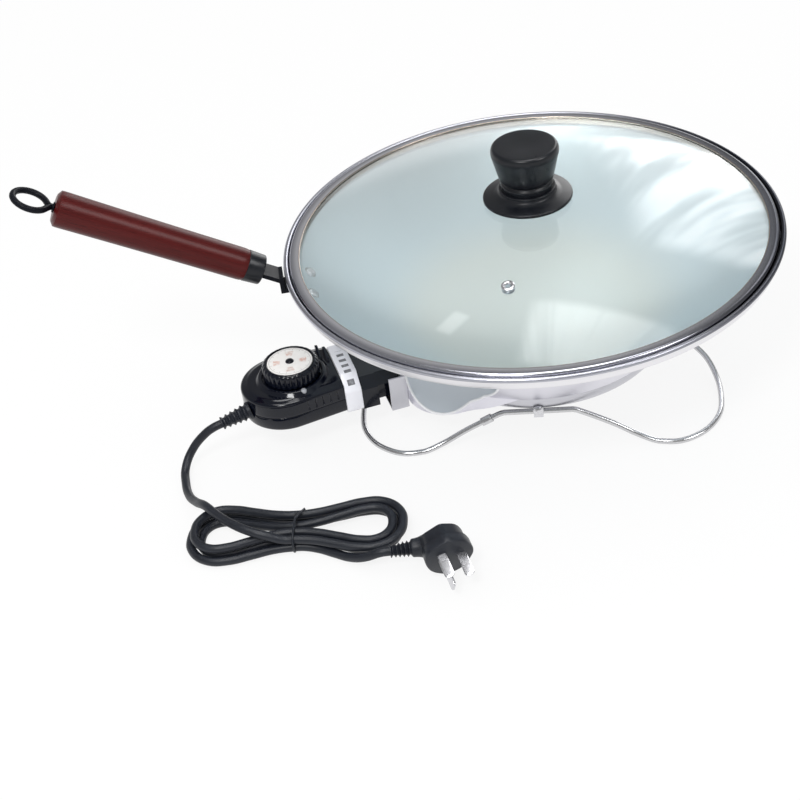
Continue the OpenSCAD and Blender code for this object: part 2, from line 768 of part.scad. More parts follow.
module handle_bracket() {
    foot_z = ledge_z - bowl_wall - 2.5 - arm_t;
    foot_r = sqrt(bowl_out * bowl_out - pow(bowl_cz - foot_z, 2)) - 1;
    arm_l = (grip_reach - knee_r) / cos(handle_rise) - ferrule_l + slot_depth - 1;
    knee_z = rim_z - knee_drop + arm_t * tan(handle_rise) + arm_t / 2;
    color("#1b1b1d") difference() {
        union() {
            on_handle() translate([-arm_t / 2, -arm_w / 2, -ferrule_l + slot_depth - seat - arm_l])
                cube([arm_t, arm_w, arm_l]);
            rotate([0, 0, handle_az]) {
                translate([knee_r, -arm_w / 2, foot_z]) cube([arm_t, arm_w, knee_z - foot_z]);
                translate([foot_r, -arm_w / 2, foot_z]) cube([knee_r + arm_t - foot_r, arm_w, arm_t]);
            }
            intersection() {
                translate([0, 0, bowl_cz]) difference() {
                    sphere(r = bowl_out + seat + flange_t, $fn = 180);
                    sphere(r = bowl_out + seat, $fn = 180);
                }
                rotate([0, 0, handle_az]) translate([0, 0, bowl_cz]) rotate([0, 180 - rivet_pitch, 0])
                    translate([-flange_h / 2, -flange_w / 2, 0]) cube([flange_h, flange_w, far]);
            }
        }
        bowl_void(seat);
        for (side = [-1, 1]) at_rivet(side) cylinder(r = rivet_r + fit, h = 20, center = true);
    }
}

module handle_rivets() {
    out_z = 2 * seat + flange_t;
    in_z = -bowl_wall - seat;
    color("silver") for (side = [-1, 1]) at_rivet(side) {
        translate([0, 0, in_z - 0.8]) cylinder(r = rivet_r, h = out_z - in_z + 1.6);
        translate([0, 0, in_z - 1.6]) cylinder(r1 = rivet_r + 1.2, r2 = 2 * rivet_r + 0.5, h = 1.6);
        translate([0, 0, out_z]) cylinder(r1 = 2 * rivet_r + 0.5, r2 = rivet_r + 1.2, h = 1.6);
    }
}

module handle_ferrule() {
    color("#18181a") on_handle() difference() {
        translate([0, 0, -ferrule_l]) cylinder(r1 = grip_near_r - 0.4, r2 = grip_near_r + 0.2, h = ferrule_l);
        translate([-arm_t / 2 - seat, -arm_w / 2 - seat, -ferrule_l - 1])
            cube([arm_t + 2 * seat, arm_w + 2 * seat, slot_depth + 1]);
        translate([0, 0, -ferrule_l + slot_depth - 1]) cylinder(r = rod_r + fit, h = far);
    }
}

module handle_grip() {
    edge = 2.5;
    color("#5a1713") on_handle() rotate_extrude() difference() {
        union() {
            polygon([[0, 0], [grip_near_r - 0.6, 0], [grip_near_r, 1], [grip_near_r + 0.9, grip_l * 0.4],
                [grip_far_r, grip_l - edge], [grip_far_r - edge, grip_l], [0, grip_l]]);
            translate([grip_far_r - edge, grip_l - edge]) circle(r = edge);
        }
        between(-far, rod_r + seat, -1, far);
    }
}

module hanging_eye() {
    neck = grip_l + 3.2;
    opening = 28;
    tip = eye_r / cos(opening);
    rod_start = -ferrule_l + slot_depth + 1;
    loop = concat([for (a = [opening : 16 : 360 - opening]) eye_r * [cos(a), sin(a), 0]], [[tip, 0, 0]]);
    color("#141416") on_handle() {
        translate([0, 0, rod_start]) cylinder(r = rod_r, h = neck - 0.6 - rod_start);
        translate([0, 0, grip_l + 0.2]) cylinder(r = rod_r + 1.4, h = 1);
        translate([0, 0, neck + tip]) rotate([0, 90, 0]) tube(loop, rod_r, 12, true);
    }
}

// CONTROLLER

// Plan of the body: a round tail drawn in to the neck, with straight flanks
module ctl_plan(inset) {
    translate([-tail_reach, 0]) circle(r = tail_r - inset);
    lean = asin((tail_r - neck_half) / (neck_x + tail_reach));
    flank = (tail_r - inset) * [sin(lean), cos(lean)];
    polygon([[-tail_reach + flank.x, flank.y], [neck_x, neck_half - inset], [neck_x, -neck_half + inset],
        [-tail_reach + flank.x, -flank.y]]);
}

// Grooves cut down both flanks as a finger grip
module flank_grooves() {
    for (side = [-1, 1]) for (i = [0 : 4])
        translate([neck_x - 6 - 4 * i, side * (neck_half + 0.6 + 0.45 * i), ctl_z + 9])
            cylinder(r = 0.9, h = ctl_h - 14);
}

module controller_base() {
    color("#101012") difference() {
        union() {
            translate([0, 0, ctl_z]) linear_extrude(2) ctl_plan(1.5);
            translate([0, 0, ctl_z + 1.5]) linear_extrude(lower_h - 1.5) ctl_plan(0);
        }
        difference() {
            translate([0, 0, ctl_z + ctl_wall]) linear_extrude(lower_h) ctl_plan(ctl_wall);
            for (y = [-1, 1]) translate([-dial_reach, y * (tail_r - 9), ctl_z])
                cylinder(r = 3.2, h = lower_h);
        }
        for (y = [-1, 1]) translate([-dial_reach, y * (tail_r - 9), ctl_z - 1])
            cylinder(r = housing_screw_r + fit, h = lower_h + 2);
        translate([neck_x - 4, -neck_half + 6, ctl_z + ctl_wall + 1]) cube([8, 2 * neck_half - 12, lower_h]);
        boot_bore();
        flank_grooves();
    }
}

module controller_top() {
    color("#121214") difference() {
        union() {
            hull() {
                translate([0, 0, split_z]) linear_extrude(ctl_h - lower_h - top_chamfer)
                    ctl_plan(0, $fn = 48);
                translate([0, 0, split_z]) linear_extrude(ctl_h - lower_h) ctl_plan(top_chamfer, $fn = 48);
            }
            for (i = [0 : 1]) translate([neck_x - 8 + fin_gap * i, fin_y - 4 * i, ctl_top - 1]) cube(fin);
        }
        difference() {
            translate([0, 0, split_z - 1]) linear_extrude(ctl_h - lower_h - ctl_wall - top_chamfer / 2 + 1)
                ctl_plan(ctl_wall + top_chamfer / 2);
            for (y = [-1, 1]) translate([-dial_reach, y * (tail_r - 9), split_z])
                cylinder(r = 3.2, h = ctl_h);
        }
        for (y = [-1, 1]) translate([-dial_reach, y * (tail_r - 9), split_z - 1])
            cylinder(r = housing_screw_r + fit, h = 7);
        translate([-dial_reach, 0, split_z]) cylinder(r = spindle_r + fit, h = ctl_h);
        at_lamp() cylinder(r = lamp_r + fit, h = 20, center = true);
        translate([neck_x - 4, -neck_half + 8, split_z - 1])
            cube([8, 2 * neck_half - 16, ctl_h - lower_h - 6]);
        boot_bore();
        flank_grooves();
    }
}

// Places a child at the indicator lamp, on the top face in front of the dial
module at_lamp() {
    translate([-dial_reach + lamp_reach * cos(lamp_angle), lamp_reach * sin(lamp_angle), ctl_top]) children();
}

// Hole in the tail that the cord boot sits in
module boot_bore() {
    translate(boot_root) rotate([0, -90 - boot_slope, 0]) cylinder(r = boot_r + seat, h = 20, center = true);
}

// Cross-section of the collar band and nose: upright cheeks with slanting top corners
module neck_section(half, low, high, bevel) {
    polygon([[-half, low], [half, low], [half, high - bevel], [half - bevel, high],
        [-half + bevel, high], [-half, high - bevel]]);
}

// Runs a section drawn in Y and Z along X
module along_x(x0, x1) {
    translate([x0, 0, 0]) rotate([90, 0, 90]) linear_extrude(x1 - x0) children();
}

module collar_band() {
    half = neck_half + collar_proud;
    color("#e9e7f0") difference() {
        along_x(neck_x + seat, band_end_x) neck_section(half, ctl_z - collar_proud / 2, ctl_top + 2, 10);
        along_x(neck_x - 1, band_end_x + 1) neck_section(nose_half - 3, nose_low + 3, nose_top - 3, 4);
    }
}

module connector_nose() {
    inside = nose_half - 3.1;
    color("#0f0f11") difference() {
        union() {
            along_x(band_end_x + seat, band_end_x + nose_step) neck_section(nose_half, nose_low, nose_top, 7);
            along_x(band_end_x + nose_step, nose_end_x)
                neck_section(nose_half - 1, nose_low + 5, nose_top, 7);
            along_x(neck_x + 1, band_end_x + seat) neck_section(inside, nose_low + 3.1, nose_top - 3.1, 4);
        }
        for (side = [-1, 1]) translate([neck_x, side * pin_half, pin_z]) rotate([0, 90, 0])
            cylinder(r = sleeve_out + fit, h = far);
        translate([neck_x, 0, pin_z]) rotate([0, 90, 0]) cylinder(r = probe_r + fit, h = far);
        for (side = [-1, 1]) translate([nose_end_x, side * guard_screw_y, guard_screw_z]) rotate([0, 90, 0])
            cylinder(r = 3.2, h = 6, center = true);
        for (side = [-1, 1]) translate([nose_end_x - 4, side * pin_half, pin_z]) rotate([0, 90, 0])
            cylinder(r = insulator_r + 0.6, h = 10);
    }
}

module contact_sleeves() {
    length = nose_end_x - 5 - neck_x;
    floor_l = lobe_wall_x - pin_out - pin_r - 1 - neck_x;
    color("goldenrod") for (side = [-1, 1]) translate([neck_x, side * pin_half, pin_z]) rotate([0, 90, 0])
        difference() {
            cylinder(r = sleeve_out, h = length);
            translate([0, 0, floor_l]) cylinder(r = pin_r + fit, h = length);
        }
}

module probe_tube() {
    color("silver") translate([neck_x, 0, pin_z]) rotate([0, 90, 0]) {
        cylinder(r = probe_r, h = nose_end_x - neck_x + probe_l - probe_r);
        translate([0, 0, nose_end_x - neck_x + probe_l - probe_r]) sphere(r = probe_r);
    }
}

module thermostat_frame() {
    floor_z = ctl_z + ctl_wall;
    color("burlywood") difference() {
        union() {
            translate([-dial_reach - 12, -9, floor_z]) cube([neck_x + dial_reach + 10, 18, 3]);
            translate([neck_x - 8, -13, floor_z]) cube([4, 26, 14]);
        }
        translate([neck_x - 12, 0, pin_z]) rotate([0, 90, 0]) cylinder(r = probe_r + seat, h = 20);
    }
}

module bimetal_blade() {
    color("peru") translate([-dial_reach - 6, -3, ctl_z + ctl_wall + 3]) {
        cube([5, 6, 1.4]);
        translate([0, 0, 1.4]) cube([neck_x + dial_reach - 3, 6, 0.8]);
    }
}

module contact_blades() {
    color("gold") for (side = [-1, 1]) translate([-dial_reach - 8, side * 6.5 - 1, ctl_z + ctl_wall + 3])
        cube([neck_x + dial_reach - 1, 2, 1.2]);
}

module indicator_lamp() {
    color("orangered") at_lamp() {
        translate([0, 0, -7]) cylinder(r = lamp_r, h = 7.2);
        translate([0, 0, 0.2]) cylinder(r1 = lamp_r, r2 = lamp_r - 0.8, h = 0.8);
    }
}

module housing_screws() {
    color("silver") for (y = [-1, 1]) translate([-dial_reach, y * (tail_r - 9), ctl_z]) {
        translate([0, 0, -0.2]) cylinder(r = housing_screw_r, h = lower_h + 5);
        translate([0, 0, -1.4]) difference() {
            cylinder(r = housing_screw_r + 1.2, h = 1.4);
            translate([-0.4, -far / 2, -1]) cube([0.8, far, 1.6]);
        }
    }
}

module cord_boot() {
    rib = 2.6;
    color("#161618") translate(boot_root) rotate([0, -90 - boot_slope, 0]) rotate_extrude() {
        polygon([[0, -5], [boot_r, -5], [boot_r, 1.5], [boot_r - 0.9, 2], [cord_r + 0.6, boot_l],
            [0, boot_l]]);
        for (i = [0 : 6]) translate([0, 3 + i * rib]) square([boot_r - i * 0.33, rib * 0.55]);
    }
}

// Local point of the hank: a dog-bone loop, moved out along its own normal by the spiral
function spiral(u) = abs(hank_loops / 2 - u) * hank_step;
function climb(u) = let (t = max(0, min(1, (u - hank_loops / 2 + 0.14) / 0.28))) t * t * (3 - 2 * t);
function hank_point(u) =
    let (a = 360 * u - 90, c = cos(a), s = sin(a),
        base = [hank_half_l * c, s * (hank_waist + hank_bulge * c * c)],
        slope = [-hank_half_l * s, c * (hank_waist + hank_bulge * c * c) - 2 * hank_bulge * s * s * c],
        out = [slope.y, -slope.x] / norm(slope),
        z = layer_z[1] + (layer_z[0] - layer_z[1]) * climb(u) + hank_lift * pow(s, 8))
    [base.x + out.x * spiral(u), base.y + out.y * spiral(u), z];
function hank_local() = concat([hank_point(0), hank_point(0) + [cord_d, 0, 0]],
    [for (i = [1 : hank_loops * loop_rings - 1]) hank_point(i / loop_rings)],
    [hank_point(hank_loops) - [cord_d, 0, 0], hank_point(hank_loops)]);
function hank_place(p) = hank_at + spun(p, hank_turn);
function hank_way() = [for (p = hank_local()) hank_place(p)];

// Least gap between the hank's own strands, measured on points along its centre line
hank_fine = [for (i = [0 : len(hank_way()) - 2]) for (k = [0 : 3])
    let (a = hank_way()[i], b = hank_way()[i + 1]) a + (b - a) * k / 4];
hank_gap = min([for (i = [0 : len(hank_fine) - 1]) for (j = [i + 20 : 1 : len(hank_fine) - 1])
    norm(hank_fine[i] - hank_fine[j])]) - cord_d;
function way_length(list) = len(list) < 2 ? 0
    : [for (i = 1, s = norm(list[1] - list[0]); i < len(list);
        i = i + 1, s = s + (i < len(list) ? norm(list[i] - list[i - 1]) : 0)) s][len(list) - 2];

// Where the cord enters the plug's boot, and the direction it takes there
plug_way = spun([1, 0, 0], cord_turn);
plug_entry = plug_boot_at - plug_boot_l * plug_way;

function cord_route() = smooth_line(concat(
    [cord_start + fit * boot_axis, cord_start + cord_d * boot_axis], cord_way,
    [hank_place(hank_local()[0] - [cord_d, 0, 0]), hank_place(hank_local()[0] - [fit, 0, 0])]), 2);
function tail_route() = let (last = hank_local()[len(hank_local()) - 1])
    smooth_line(concat([hank_place(last + [fit, 0, 0]), hank_place(last + [cord_d, 0, 0])], tail_way,
        [plug_entry - cord_d * plug_way, plug_entry - fit * plug_way]), 2);

echo(least_gap_in_hank = hank_gap);
echo(cord_length = way_length(cord_route()) + way_length(hank_way()) + way_length(tail_route()));

module power_cord() {
    color("#1a1a1c") tube(cord_route(), cord_r, 10);
}

module cord_hank() {
    color("#1a1a1c") tube(hank_way(), cord_r, 6);
}

module cord_tail() {
    color("#1a1a1c") tube(tail_route(), cord_r, 10);
}

// A flat tie once round the waist of the hank, with its twisted end
module hank_tie() {
    wrap = 0.8;
    low = layer_z[0] + hank_lift - cord_r - seat - wrap;
    high = layer_z[1] + hank_lift + cord_r + seat + wrap;
    front = -hank_waist - spiral(0) - cord_r - seat - wrap;
    back = hank_waist + spiral(0.5) + cord_r + seat + wrap;
    color("#0c0c0e") translate(hank_at) rotate([0, 0, hank_turn]) {
        translate([-1.75, 0, 0]) rotate([90, 0, 90]) linear_extrude(3.5) difference() {
            translate([front, low]) square([back - front, high - low]);
            translate([front + wrap, low + wrap]) square([back - front - 2 * wrap, high - low - 2 * wrap]);
        }
        translate([0, back - 6, high - 0.2]) rotate([0, 70, 25]) cylinder(r = 0.8, h = 16);
    }
}

// Places a child in the plug's frame: +Z along the pins, +Y up the face
module at_plug() {
    translate(plug_at) rotate([0, 0, plug_turn]) rotate([90 + plug_tilt, 0, 0]) children();
}

module plug_boot() {
    rib = 2.7;
    color("#151517") translate(plug_entry) rotate([0, 90, cord_turn]) rotate_extrude() {
        polygon([[0, 0], [cord_r + 1, 0], [cord_r + 2.2, plug_boot_l], [0, plug_boot_l]]);
        for (i = [0 : 4]) translate([0, 1 + i * rib]) square([cord_r + 2 + i * 0.25, rib * 0.5]);
    }
}

module plug_body() {
    color("#121214") hull($fn = 24) {
        at_plug() for (corner = plug_corners) rotate(corner[0]) {
            reach = plug_r - plug_corner_r - corner[1];
            translate([reach, 0, plug_face - 8]) cylinder(r = plug_corner_r, h = 8);
            translate([reach - plug_back_inset, 0, plug_face - 17]) cylinder(r = plug_corner_r, h = 9);
        }
        translate(plug_boot_at) rotate([0, 90, cord_turn]) cylinder(r = 6.2, h = 8);
    }
}

module plug_pins() {
    pin = [6.4, 1.6];
    places = [[8.5, 1.2, 15, 0], [-3.2, -3.4, 75, 3], [-4.4, 5.3, 15, 0]];
    color("gainsboro") at_plug() for (p = places) translate([p.x, p.y, plug_face]) rotate(p.z)
        translate([-pin.x / 2, -pin.y / 2, 0]) cube([pin.x, pin.y, plug_pin_l + p[3]]);
}

// DIAL

// Places a child on the dial's axis, at the dial's underside
module at_dial() {
    translate([-dial_reach, 0, dial_z]) children();
}

module dial_ring() {
    color("#0e0e10") at_dial() difference() {
        union() {
            linear_extrude(dial_h - 1.5) {
                circle(r = dial_r);
                for (i = [0 : dial_ribs - 1]) rotate(i * 360 / dial_ribs) translate([dial_r, 0])
                    circle(r = 1);
            }
            translate([0, 0, dial_h - 1.5]) cylinder(r1 = dial_r, r2 = dial_r - 1.2, h = 1.5);
        }
        translate([0, 0, dial_h - 1]) cylinder(r = face_r + seat, h = 2);
        translate([0, 0, -1]) cylinder(r = spindle_r + fit, h = dial_h);
    }
}

module dial_face() {
    color("white") at_dial() translate([0, 0, dial_h - 1]) difference() {
        cylinder(r = face_r, h = 0.7);
        translate([0, 0, -1]) cylinder(r = hub_r - 1 + seat, h = 3);
    }
}

module dial_hub() {
    color("#151515") at_dial() translate([0, 0, dial_h - 1]) {
        cylinder(r = hub_r - 1, h = 1);
        translate([0, 0, 1]) cylinder(r1 = hub_r, r2 = hub_r - 0.6, h = 0.8);
    }
}

module dial_spindle() {
    color("tan") {
        translate([-dial_reach, 0, spindle_low])
            cylinder(r = spindle_r, h = dial_z + dial_h - 3 - spindle_low);
        translate([-dial_reach + 0.8, 0, spindle_low]) cylinder(r = spindle_r + 1.5, h = 3);
    }
}

lid_glass();
lid_band();
steam_vent();
knob_flange();
lid_knob();
knob_washer();
knob_screw();
wok_bowl();
heating_plate();
heating_element();
terminal_pins();
terminal_insulators();
probe_well();
base_shell();
bottom_cover();
cover_screw();
socket_guard();
guard_screws();
stand_wire();
wire_sleeve();
stand_clips();
stand_screws();
handle_bracket();
handle_rivets();
handle_ferrule();
handle_grip();
hanging_eye();
controller_base();
controller_top();
collar_band();
connector_nose();
contact_sleeves();
probe_tube();
thermostat_frame();
bimetal_blade();
contact_blades();
indicator_lamp();
housing_screws();
cord_boot();
power_cord();
cord_hank();
hank_tie();
cord_tail();
plug_boot();
plug_body();
plug_pins();
dial_ring();
dial_face();
dial_hub();
dial_spindle();
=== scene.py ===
import math

import bmesh
import bpy
import numpy as np
from mathutils import Matrix


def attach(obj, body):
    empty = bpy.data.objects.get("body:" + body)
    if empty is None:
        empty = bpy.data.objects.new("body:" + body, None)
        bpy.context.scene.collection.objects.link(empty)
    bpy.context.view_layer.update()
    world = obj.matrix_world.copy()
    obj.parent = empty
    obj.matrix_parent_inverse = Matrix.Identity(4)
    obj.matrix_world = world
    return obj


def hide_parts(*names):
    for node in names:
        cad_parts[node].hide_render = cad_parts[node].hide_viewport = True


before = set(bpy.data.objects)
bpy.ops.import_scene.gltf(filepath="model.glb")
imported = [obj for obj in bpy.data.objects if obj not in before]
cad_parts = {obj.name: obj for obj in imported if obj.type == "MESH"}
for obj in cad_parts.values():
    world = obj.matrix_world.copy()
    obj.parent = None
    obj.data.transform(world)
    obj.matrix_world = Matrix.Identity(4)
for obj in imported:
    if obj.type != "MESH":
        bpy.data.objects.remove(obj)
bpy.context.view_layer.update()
scene = bpy.context.scene
scene.view_settings.view_transform = "Standard"


# CAMERA
# The view is from the front left and well above the rim, with a longish lens. The three directions are those
# that the camera looks in and that its picture runs in to the right and upwards.
def placed(name, data):
    """A new object in the scene."""
    made = bpy.data.objects.new(name, data)
    scene.collection.objects.link(made)
    return made


def aimed(made, spot, right, up, back):
    """Stands a camera or a lamp at a spot, with the ways that are right, up and backwards for it."""
    made.matrix_world = Matrix(np.column_stack([right, up, back]).tolist()).to_4x4()
    made.location = spot


eye = (-0.3014, -0.9009, 0.7010)
look = np.array([0.1676, 0.7787, -0.6046])
across = np.array([0.9506, -0.2902, -0.1102])
upward = np.array([0.2612, 0.5563, 0.7889])
lens = bpy.data.cameras.new("camera")
lens.sensor_width = 36
lens.lens = 72.27
lens.clip_end = 20
scene.camera = placed("camera", lens)
aimed(scene.camera, eye, across, upward, -look)


# MAINS CORD
# A round black PVC lead from the controller's boot, folded into a tied hank on the table and on to the plug.
# It is a single length, so one curve follows it from end to end.
class Wire:
    """One socket of a node tree: arithmetic on it adds Math nodes, and node() adds any other node."""

    def __init__(self, tree, socket=None):
        self.tree = tree
        self.socket = socket

    def node(self, kind, inputs=None, output=0, **settings):
        made = self.tree.nodes.new("ShaderNode" + kind)
        for name, value in settings.items():
            setattr(made, name, value)
        for name, value in (inputs or {}).items():
            if isinstance(value, Wire):
                self.tree.links.new(value.socket, made.inputs[name])
            else:
                made.inputs[name].default_value = value
        return Wire(self.tree, made.outputs[output] if made.outputs else None)

    def calc(self, operation, first, second=0.0):
        return self.node("Math", {0: first, 1: second}, operation=operation)

    def __add__(self, other):
        return self.calc("ADD", self, other)

    __radd__ = __add__

    def __mul__(self, other):
        return self.calc("MULTIPLY", self, other)

    __rmul__ = __mul__

    def __sub__(self, other):
        return self.calc("SUBTRACT", self, other)

    def __rsub__(self, other):
        return self.calc("SUBTRACT", other, self)

    def __truediv__(self, other):
        return self.calc("DIVIDE", self, other)

    def __pow__(self, other):
        return self.calc("POWER", self, other)

    def __gt__(self, other):
        return self.calc("GREATER_THAN", self, other)

    def __lt__(self, other):
        return self.calc("LESS_THAN", self, other)


def tint(code):
    """A six-digit colour code as linear red, green, blue and full alpha."""
    part = np.array([int(code[i : i + 2], 16) for i in (0, 2, 4)]) / 255
    linear = np.where(part <= 0.04045, part / 12.92, ((part + 0.055) / 1.055) ** 2.4)
    return (*[float(x) for x in linear], 1.0)


def finish(name, recipe):
    """A material from a recipe, which gets the node tree and returns the values and links of its Principled
    shader, or a shader of its own."""
    material = bpy.data.materials.new(name)
    material.use_nodes = True
    material.node_tree.nodes.clear()
    start = Wire(material.node_tree)
    made = recipe(start)
    shader = made if isinstance(made, Wire) else start.node("BsdfPrincipled", made)
    start.node("OutputMaterial", {"Surface": shader})
    return material


def place_of(w):
    """Where a point is on the object, in metres."""
    return w.node("TexCoord", output="Object")


def clouds(w, scale, detail=3.0, at=None, rough=0.55):
    """Soft noise from 0 to 1, with about scale lumps in a metre."""
    where = at or place_of(w)
    return w.node("TexNoise", {"Vector": where, "Scale": scale, "Detail": detail, "Roughness": rough})


def mixed(w, share, first, second):
    """One colour, a code or a wire, fading into another by a share from 0 to 1."""
    first, second = (tint(colour) if isinstance(colour, str) else colour for colour in (first, second))
    return w.node("Mix", {0: share, 6: first, 7: second}, 2, data_type="RGBA")


def relief(w, height, strength, distance):
    """A normal bent by a height map."""
    return w.node("Bump", {"Height": height, "Strength": strength, "Distance": distance})


def clouded(scale, detail, dark, pale, rough, spread, fixed=None, grain=None):
    """A recipe: two tints clouding into each other, a roughness that rises by spread with the paler one, the
    shader's fixed values, and a fine relief (scale and detail of its noise, strength and depth)."""

    def recipe(w):
        cloud = clouds(w, scale, detail)
        values = {"Base Color": mixed(w, cloud, dark, pale), "Roughness": rough + spread * cloud}
        if grain:
            values["Normal"] = relief(w, clouds(w, *grain[:2]), *grain[2:])
        return {**values, **(fixed or {})}

    return recipe


dull, pores = {"Specular IOR Level": 0.4}, (2600, 2, 0.12, 0.0004)
rubber = finish("moulded_rubber", clouded(160, 5, "12151c", "20242d", 0.34, 0.14, dull, pores))


def dress(piece, body, slot, material, *nodes):
    """Gives a piece its material and its body, and hides the nodes of the frame that it stands for. The slot
    is not used.
    """
    piece.data.materials.append(material)
    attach(piece, body)
    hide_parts(*nodes)
    return piece


def heading(angle, rise=0.0):
    """The unit vector at an angle from +X, and rising by another from the level."""
    return np.array([math.cos(angle) * math.cos(rise), math.sin(angle) * math.cos(rise), math.sin(rise)])


cord_d = 0.006
boot_l = 0.022
boot_slope = math.radians(13)
boot_root = np.array([-0.215, -0.009, 0.035])
boot_axis = -heading(0, boot_slope)
cord_start = boot_root + boot_l * boot_axis
cord_way = [
    (-0.250, -0.008, 0.024), (-0.261, -0.0085, 0.0135), (-0.268, -0.015, 0.006), (-0.271, -0.028, 0.0033),
    (-0.2715, -0.043, 0.004), (-0.2685, -0.059, 0.0095), (-0.264, -0.074, 0.0166), (-0.2585, -0.088, 0.0178),
    (-0.251, -0.101, 0.0178), (-0.242, -0.112, 0.0174), (-0.232, -0.1185, 0.015),
]
tail_way = [
    (-0.202, -0.131, 0.0034), (-0.194, -0.139, 0.0034), (-0.186, -0.148, 0.0045), (-0.178, -0.156, 0.0084),
]
hank_at = np.array([-0.212, -0.111, 0.0])
hank_loops = 3
hank_axis = heading(math.radians(-20))
hank_side = np.cross((0, 0, 1), hank_axis)
cord_in = heading(math.radians(-12))
plug_boot_l = 0.014
plug_boot_at = np.array([-0.1486, -0.1651, 0.013])
plug_entry = plug_boot_at - plug_boot_l * cord_in


def hank_line(u):
    """Dog-bone loops, x = l cos a and y = sin a (w + b cos^2 a), pushed out along their normal by a spiral
    that closes in and opens again, and stepping down from the upper layer to the lower in the middle."""
    half_l, waist, bulge, step = 0.062, 0.003, 0.031, 0.007
    a = 2 * math.pi * u - math.pi / 2
    c, s = np.cos(a), np.sin(a)
    width = waist + bulge * c * c
    slope = np.stack([-half_l * s, c * width - 2 * bulge * s * s * c], -1)
    out = np.stack([slope[:, 1], -slope[:, 0]], -1) / np.linalg.norm(slope, axis=1)[:, None]
    spiral = np.abs(hank_loops / 2 - u) * step
    flat = np.stack([half_l * c, s * width], -1) + out * spiral[:, None]
    t = np.clip((u - hank_loops / 2 + 0.14) / 0.28, 0, 1)
    upper, drop, crossing = 0.0098, 0.0066, 0.001
    height = upper - drop * t * t * (3 - 2 * t) + crossing * s**8
    return hank_at + flat[:, :1] * hank_axis + flat[:, 1:] * hank_side + height[:, None] * np.array([0, 0, 1])


hank = hank_line(np.linspace(0, hank_loops, 24 * hank_loops + 1))
route = np.vstack([
    cord_start, cord_start + cord_d * boot_axis, np.array(cord_way), hank[0] - cord_d * hank_axis, hank,
    hank[-1] + cord_d * hank_axis, np.array(tail_way), plug_entry - cord_d * cord_in, plug_entry,
])
line = bpy.data.curves.new("mains_cord", "CURVE")
line.dimensions = "3D"
line.bevel_depth = cord_d / 2
line.bevel_resolution = 5
line.resolution_u = 6
line.use_fill_caps = True
strand = line.splines.new("BEZIER")
strand.bezier_points.add(len(route) - 1)
for point, spot in zip(strand.bezier_points, route.tolist()):
    point.co = spot
    point.handle_left_type = "AUTO"
    point.handle_right_type = "AUTO"
cord = placed("mains_cord", line)
dress(cord, "controller", "black_rubber", rubber, "power_cord", "cord_hank", "cord_tail")


# STRAIN RELIEF AND PLUG BOOT
# Two tapered rubber sleeves, moulded onto the cord's ends with grooves all round that let them bend. One is
# held in the controller's shells, and the other runs on into the plug.
def skin(name, grid, close_rows=False, crease=35):
    """Quads over a grid of points: each row closes on itself, closed rows join the last to the first, doubled
    points become one, faces turn outwards, and edges sharper than the crease angle stay crisp."""
    rows, columns = grid.shape[:2]
    i = np.arange(rows if close_rows else rows - 1)[:, None]
    j = np.arange(columns)[None, :]
    up, right = (i + 1) % rows, (j + 1) % columns
    faces = np.stack([i * columns + j, i * columns + right, up * columns + right, up * columns + j], -1)
    mesh = bpy.data.meshes.new(name)
    mesh.from_pydata(grid.reshape(-1, 3).tolist(), [], faces.reshape(-1, 4).tolist())
    shell = bmesh.new()
    shell.from_mesh(mesh)
    bmesh.ops.remove_doubles(shell, verts=shell.verts, dist=2e-6)
    bmesh.ops.recalc_face_normals(shell, faces=shell.faces)
    shell.to_mesh(mesh)
    shell.free()
    mesh.shade_smooth()
    mesh.set_sharp_from_angle(angle=math.radians(crease))
    return placed(name, mesh)


def rounded(corners, steps=5):
    """An outline whose corners (x, y, radius) become arcs: (1-s)^2 a + 2s(1-s) p + s^2 b, where a and b lie a
    radius before and after the corner p."""
    c = np.array(corners, float)
    p, radius = c[:, :2], c[:, 2]
    back, on = np.roll(p, 1, 0) - p, np.roll(p, -1, 0) - p
    back_l, on_l = np.linalg.norm(back, axis=1), np.linalg.norm(on, axis=1)
    reach = np.minimum(radius, 0.49 * np.minimum(back_l, on_l))
    a = p + back * (reach / back_l)[:, None]
    b = p + on * (reach / on_l)[:, None]
    s = np.linspace(0, 1, steps)[None, :, None]
    arcs = (1 - s) ** 2 * a[:, None] + 2 * s * (1 - s) * p[:, None] + s * s * b[:, None]
    return arcs.reshape(-1, 2)


def full_turn(steps):
    """Evenly spaced angles once round."""
    return np.linspace(0, 2 * math.pi, steps, endpoint=False)


def polar(r, angle, z):
    """Points at distances and angles from the Z axis and +X, and at heights."""
    return np.stack(np.broadcast_arrays(r * np.cos(angle), r * np.sin(angle), z), -1)


def turned(outline, sides=64):
    """An outline of (radius, height) carried round the Z axis."""
    return polar(outline[:, :1], full_turn(sides), outline[:, 1:])


def unit(v):
    return v / np.linalg.norm(v, axis=-1, keepdims=True)


def set_down(points, origin, x_way, z_way):
    """Carries points from a piece's own frame to the pot's, with +X and +Z along the two given ways."""
    z = unit(np.array(z_way, float))
    x = unit(np.array(x_way, float) - np.dot(x_way, z) * z)
    y = np.cross(z, x)
    return np.array(origin) + points[..., :1] * x + points[..., 1:2] * y + points[..., 2:] * z


def sleeve_outline(length, wide, narrow, ribs, plain):
    """Radius along a sleeve: a straight taper with a cosine groove for each rib, and a plain root and end."""
    s = np.linspace(0, 1, 180)
    taper = wide + (narrow - wide) * s
    inside = np.clip((s - plain) / (1 - 1.3 * plain), 0, 1)
    dent = np.clip(0.5 - 0.5 * np.cos(2 * math.pi * ribs * inside), 0, 1) ** 0.6
    groove = 0.0015
    r = taper - groove * dent * (inside > 0) * (inside < 1)
    return np.vstack([[0, 0], np.stack([r, s * length], -1), [0, length]])


